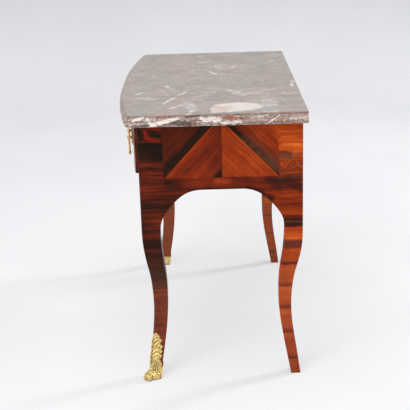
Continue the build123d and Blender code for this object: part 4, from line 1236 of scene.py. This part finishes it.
@dataclass
class DropHandle:
    """Chased work of one drop handle: rosettes at its posts, scrolls on its plate and a bail with collars."""

    end: Handing
    gilding: Material
    pivot: tuple[float, float, float] = (0.260915, -0.248542, 0.728)
    lean: float = 0.07622
    post_spacing: float = 0.084
    reach: float = 0.012
    petals: int = 8
    petal_ends: tuple[Place, Place] = ((0.0055, 0.0032), (0.0125, 0.0030))
    petal_width: float = 0.0036
    petal_ridge: float = 0.0017
    petal_curl: float = 0.0006
    plate: float = 0.0028
    scroll_radius: float = 0.0125
    scroll_wire: Place = (0.0016, 0.00088)
    boss_root: float = -0.0165
    boss_half: float = 0.0105
    boss_height: float = 0.0235
    bail_low: float = -0.058
    collar_half: float = 0.0011
    collars: tuple[Place, ...] = ((-0.0105, 0.0042), (0.0105, 0.0042), (-0.0135, 0.0036), (0.0135, 0.0036))

    def at(self, across: float, up: float, out: float) -> Vector:
        """A place by its distances from the middle of the pivots.

        Args:
            across: Towards the end of the drawer.
            up: Upwards.
            out: Away from the drawer front.

        Returns:
            The place.
        """
        sign, straight = self.end.value, math.sqrt(1 - self.lean**2)
        normal = Vector((sign * self.lean, -straight, 0))
        level = Vector((sign * straight, self.lean, 0))
        centre = Vector((sign * self.pivot[0], self.pivot[1], self.pivot[2]))
        return centre + level * across + Vector((0, 0, up)) + normal * out

    @property
    def outwards(self) -> Vector:
        """Unit vector away from the drawer front."""
        return self.at(0, 0, 1) - self.at(0, 0, 0)

    def rosettes(self, form: Form) -> None:
        """Adds a ring of petals round each post.

        Args:
            form: Mesh that the chasing goes into.
        """
        for across in (-self.post_spacing / 2, self.post_spacing / 2):
            for angle in even(0, math.tau, self.petals)[:-1]:
                root, tip = (
                    self.at(across + away * math.cos(angle), away * math.sin(angle), -self.reach + out)
                    for away, out in self.petal_ends
                )
                form.petal(root, tip, self.petal_width, self.outwards, self.petal_ridge, self.petal_curl)

    def scrolls(self, form: Form) -> None:
        """Adds the scrolled leaves and the middle boss of the back plate.

        Args:
            form: Mesh that the chasing goes into.
        """
        ground = -self.reach + self.plate
        for side, height in ((side, height) for side in (-1, 1) for height in (-1, 1)):
            line = []
            for share in even(0, 1, 18):
                angle, radius = math.pi * (0.15 + 1.7 * share), self.scroll_radius * (1 - 0.78 * share)
                across = side * (0.0225 + 0.002 * share - radius * math.cos(angle))
                up = -0.0075 + height * (0.0085 + radius * math.sin(angle) * 0.62)
                line.append(self.at(across, up, ground + 0.0004))
            form.rod(line, even(*self.scroll_wire, 18), 8, self.outwards)
        root = self.at(0, self.boss_root, ground)
        for angle in even(0, math.pi, 8):
            up = self.boss_root + self.boss_height * (0.35 + 0.65 * math.sin(angle))
            tip = self.at(self.boss_half * math.cos(angle), up, ground)
            form.petal(root, tip, 0.0020, self.outwards, 0.0016, 0.0004)

    def build(self) -> list[bpy.types.Object]:
        """Builds the chasing of this handle.

        Returns:
            The plate's chasing, which rides on the drawer, and the bail's, which rides on the bail.
        """
        word = self.end.word
        plate, bail = Form(), Form()
        self.rosettes(plate)
        self.scrolls(plate)
        chasing = plate.piece(f"handle_chasing_{word}", self.gilding)
        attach(chasing, "drawer")
        axis = (self.at(1, 0, 0) - self.at(0, 0, 0)).normalized()
        for across, radius in self.collars:
            bail.bead(self.at(across, self.bail_low, 0), radius, axis, self.collar_half)
        collars = bail.piece(f"bail_collars_{word}", self.gilding)
        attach(collars, f"handle_bail_{word}")
        return [chasing, collars]


@dataclass
class Commode:
    """Finishes of the CAD nodes, by the sheets and boards that they are made of."""

    gilding: Material = field(default_factory=lambda: GiltBronze().material())
    knot: tuple[Streak, ...] = streaks(
        (-186, 786, -180, 772, 1.5, 7, 0.9),
        (-180, 772, -166, 765, 3, 6),
        (-166, 765, -146, 762, 1, 7, 0.9),
        (-172, 799, -140, 797, 0.5, 6, 0.6),
    )
    knot_shades: tuple[Streak, ...] = streaks(
        (-168, 790, -145, 779, 3, 8, 1, 0.03),
        (-205, 790, -196, 770, 2, 8, 1, 0.06),
    )
    rear_stripes: tuple[Streak, ...] = streaks(
        (197, 626, 226, 633, 6, 12, 1, 0.16),
        (226, 633, 252, 612, 6, 12, 1, 0.20),
        (252, 612, 270, 596, 1, 12, 1, 0.26),
        (214, 742, 262, 740, 1, 6, 1, 0.86),
        (205, 762, 250, 764, 0.6, 6, 1, 0.84),
        (196, 716, 232, 710, 1.5, 10, 1, 0.30),
        (222.5, 23.5, 226.3, 23.5, 2.2, 1.4, 1, 0.02),
    )
    rear_ashes: tuple[Streak, ...] = streaks(
        (195, 708, 236, 706, 3, 12),
        (236, 706, 275, 713, 0.5, 9, 0.7),
        (195, 660, 275, 660, 24, 12, 0.2),
        (170, 503, 300, 503, 1, 2.5, 0.8),
        (170, 432, 300, 432, 7, 8, 0.6),
    )
    rear_burr: Place = (0.648, 0.704)

    def front_leg(self, end: Handing) -> Material:
        """Veneer of a front stile and leg: a red knot, a black block, dark stripes and a redder foot."""
        name = f"front leg veneer {end.word}"
        return BandedVeneer(name, FRONT_STILE, -end.value, self.knot_shades, self.knot, calm=0.9).material()

    def rear_leg(self, end: Handing) -> Material:
        """Veneer of a rear stile and leg: orange stripes, a figured block and bands down to the foot."""
        rows = {"stripes": self.rear_stripes, "ashes": self.rear_ashes, "burr": self.rear_burr}
        return BandedVeneer(f"rear leg veneer {end.word}", REAR_STILE, -end.value, **rows).material()

    def dress(self, material: Material, *nodes: str) -> None:
        """Gives CAD nodes their finish.

        Args:
            material: The finish.
            nodes: Names of the nodes.
        """
        for node in nodes:
            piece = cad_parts[node]
            piece.data.materials.clear()
            piece.data.materials.append(material)
            log.info("%s: %s", node, material.name)

    def build(self) -> None:
        """Dresses every node of the frame."""
        self.dress(BrecciaMarble().material(), "marble_top")
        self.dress(DrawerMarquetry().material(), "drawer_front")
        self.dress(SideMarquetry().material(), "side_panel_right", "side_panel_left")
        self.dress(
            PlainTimber("boards along the front", (6, 90, 90)).material(),
            *("rail_front_upper", "rail_front_lower", "rail_rear_upper", "rail_rear_lower"),
            *("back_boards", "drawer_back", "drawer_bottom", "drawer_stops"),
        )
        self.dress(PlainTimber("blocks and pegs", (90, 90, 12)).material(), "glue_blocks", "tenon_pegs")
        self.dress(FiledIron().material(), "lock_case", "lock_bolt", "lock_screws")
        self.dress(self.gilding, "escutcheon")
        crossways = PlainTimber("boards from front to back", (90, 6, 90)).material()
        boards = ("drawer_runner", "drawer_kicker", "drawer_guide", "drawer_side")
        bronzes = ("shoe", "handle_plate", "handle_posts", "handle_nuts", "handle_bail")
        for end in Handing:
            self.dress(self.front_leg(end), f"leg_front_{end.word}")
            self.dress(self.rear_leg(end), f"leg_rear_{end.word}")
            self.dress(crossways, *(f"{name}_{end.word}" for name in boards))
            self.dress(self.gilding, *(f"{name}_{end.word}" for name in bronzes))


@dataclass(frozen=True)
class Lamp:
    """Soft square lamp: its place, what it points at, the length of its side and its power in watts."""

    name: str
    place: tuple[float, float, float]
    aim: tuple[float, float, float]
    size: float
    power: float

    def hang(self) -> None:
        """Adds the lamp to the scene."""
        data = bpy.data.lights.new(self.name, "AREA")
        data.size, data.energy = self.size, self.power
        lamp = bpy.data.objects.new(self.name, data)
        lamp.location = self.place
        lamp.rotation_euler = (Vector(self.place) - Vector(self.aim)).to_track_quat("Z", "Y").to_euler()
        bpy.context.scene.collection.objects.link(lamp)


@dataclass
class Studio:
    """Pale floor and backdrop, soft lamps and the camera."""

    eye: tuple[float, float, float] = (3.267, -0.0075, 1.502)
    azimuth: float = 90.23
    elevation: float = 18.62
    roll: float = -1.69
    focal_pixels: float = 1000.0
    frame_pixels: float = 410.0
    sensor: float = 36.0
    floor: Colour = paint(241, 241, 242)
    floor_shade: Colour = paint(233, 233, 235)
    wall: Colour = paint(226, 227, 231)
    floor_glow: Colour = paint(241, 242, 243)
    wall_glow: Colour = paint(207, 208, 211)
    glow: float = 0.48
    flat_radii: tuple[float, ...] = (0, 1.5, 3.4)
    bend: float = 1.4
    wall_top: float = 4.5
    sides: int = 64
    air: Colour = (0.98, 0.985, 1.0, 1.0)
    air_strength: float = 0.54
    lamps: tuple[Lamp, ...] = (
        Lamp("overhead", (0.4, -0.3, 3.4), (0, 0, 0.4), 2.6, 42),
        Lamp("key", (2.6, -1.6, 2.2), (0, 0, 0.5), 1.8, 46),
        Lamp("rim", (-1.2, 3.0, 2.6), (0, 0, 0.4), 0.55, 60),
    )

    def camera(self) -> None:
        """Sets the camera where the photograph was taken."""
        yaw, pitch, lean = (math.radians(value) for value in (self.azimuth, self.elevation, self.roll))
        back = Vector((math.sin(yaw) * math.cos(pitch), -math.cos(yaw) * math.cos(pitch), math.sin(pitch)))
        right = (-back).cross(Vector((0, 0, 1))).normalized()
        up = back.cross(right)
        right, up = right * math.cos(lean) + up * math.sin(lean), up * math.cos(lean) - right * math.sin(lean)
        data = bpy.data.cameras.new("camera")
        data.sensor_width = self.sensor
        data.lens = self.focal_pixels * self.sensor / self.frame_pixels
        data.clip_end = 50
        camera = bpy.data.objects.new("camera", data)
        camera.matrix_world = Matrix.Translation(self.eye) @ Matrix((right, up, back)).transposed().to_4x4()
        bpy.context.scene.collection.objects.link(camera)
        bpy.context.scene.camera = camera

    def paper(self) -> Material:
        """Finish of the floor and the backdrop, which glow a little for the camera alone.

        Returns:
            The paper's material.
        """
        graph = Graph("studio paper")
        colour = graph.cover(
            self.floor,
            (graph.rise(graph.noise(1.1, 3), 0.35, 0.7), self.floor_shade),
            (graph.rise(graph.z, 0.05, 1.2), self.wall),
        )
        seen = graph.node("LightPath").outputs["Is Camera Ray"]
        return graph.finish(
            Base_Color=graph.mix(seen, colour, graph.mix(1 - self.glow, paint(0, 0, 0), colour)),
            Emission_Color=graph.mix(graph.rise(graph.z, 0.02, 1.0), self.floor_glow, self.wall_glow),
            Emission_Strength=graph.times(seen, self.glow),
            Roughness=0.9,
            Specular_IOR_Level=0.1,
        )

    def sweep(self) -> None:
        """Builds the floor that curves up into the backdrop, on every side."""
        edge = self.flat_radii[-1]
        angles = [math.radians(9 * step) for step in range(1, 11)]
        rings = [(radius, 0) for radius in self.flat_radii]
        rings += [(edge + self.bend * math.sin(a), self.bend - self.bend * math.cos(a)) for a in angles]
        rings.append((edge + self.bend, self.wall_top))
        turns = [math.tau * step / self.sides for step in range(self.sides)]
        form = Form([Vector((r * math.cos(turn), r * math.sin(turn), z)) for r, z in rings for turn in turns])
        for low in range(0, (len(rings) - 1) * self.sides, self.sides):
            for step in range(self.sides):
                one, two = low + step, low + (step + 1) % self.sides
                form.faces.append((one, two, two + self.sides, one + self.sides))
        form.piece("backdrop", self.paper())

    def build(self) -> None:
        """Sets up the floor, the lamps, the world and the camera."""
        scene = bpy.context.scene
        scene.view_settings.view_transform = "Standard"
        scene.world = bpy.data.worlds.new("studio")
        scene.world.use_nodes = True
        background = scene.world.node_tree.nodes["Background"]
        background.inputs["Color"].default_value = self.air
        background.inputs["Strength"].default_value = self.air_strength
        self.sweep()
        for lamp in self.lamps:
            lamp.hang()
        self.camera()


def main() -> None:
    """Builds the studio, the finishes and the bronze work, and reports each piece."""
    logging.basicConfig(level=logging.INFO, format="%(message)s")
    Studio().build()
    commode = Commode()
    commode.build()
    for end in Handing:
        for piece in (BronzeShoe(end, commode.gilding).build(), *DropHandle(end, commode.gilding).build()):
            log.info("%s: %d faces", piece.name, len(piece.data.polygons))


if __name__ == "__main__":
    main()
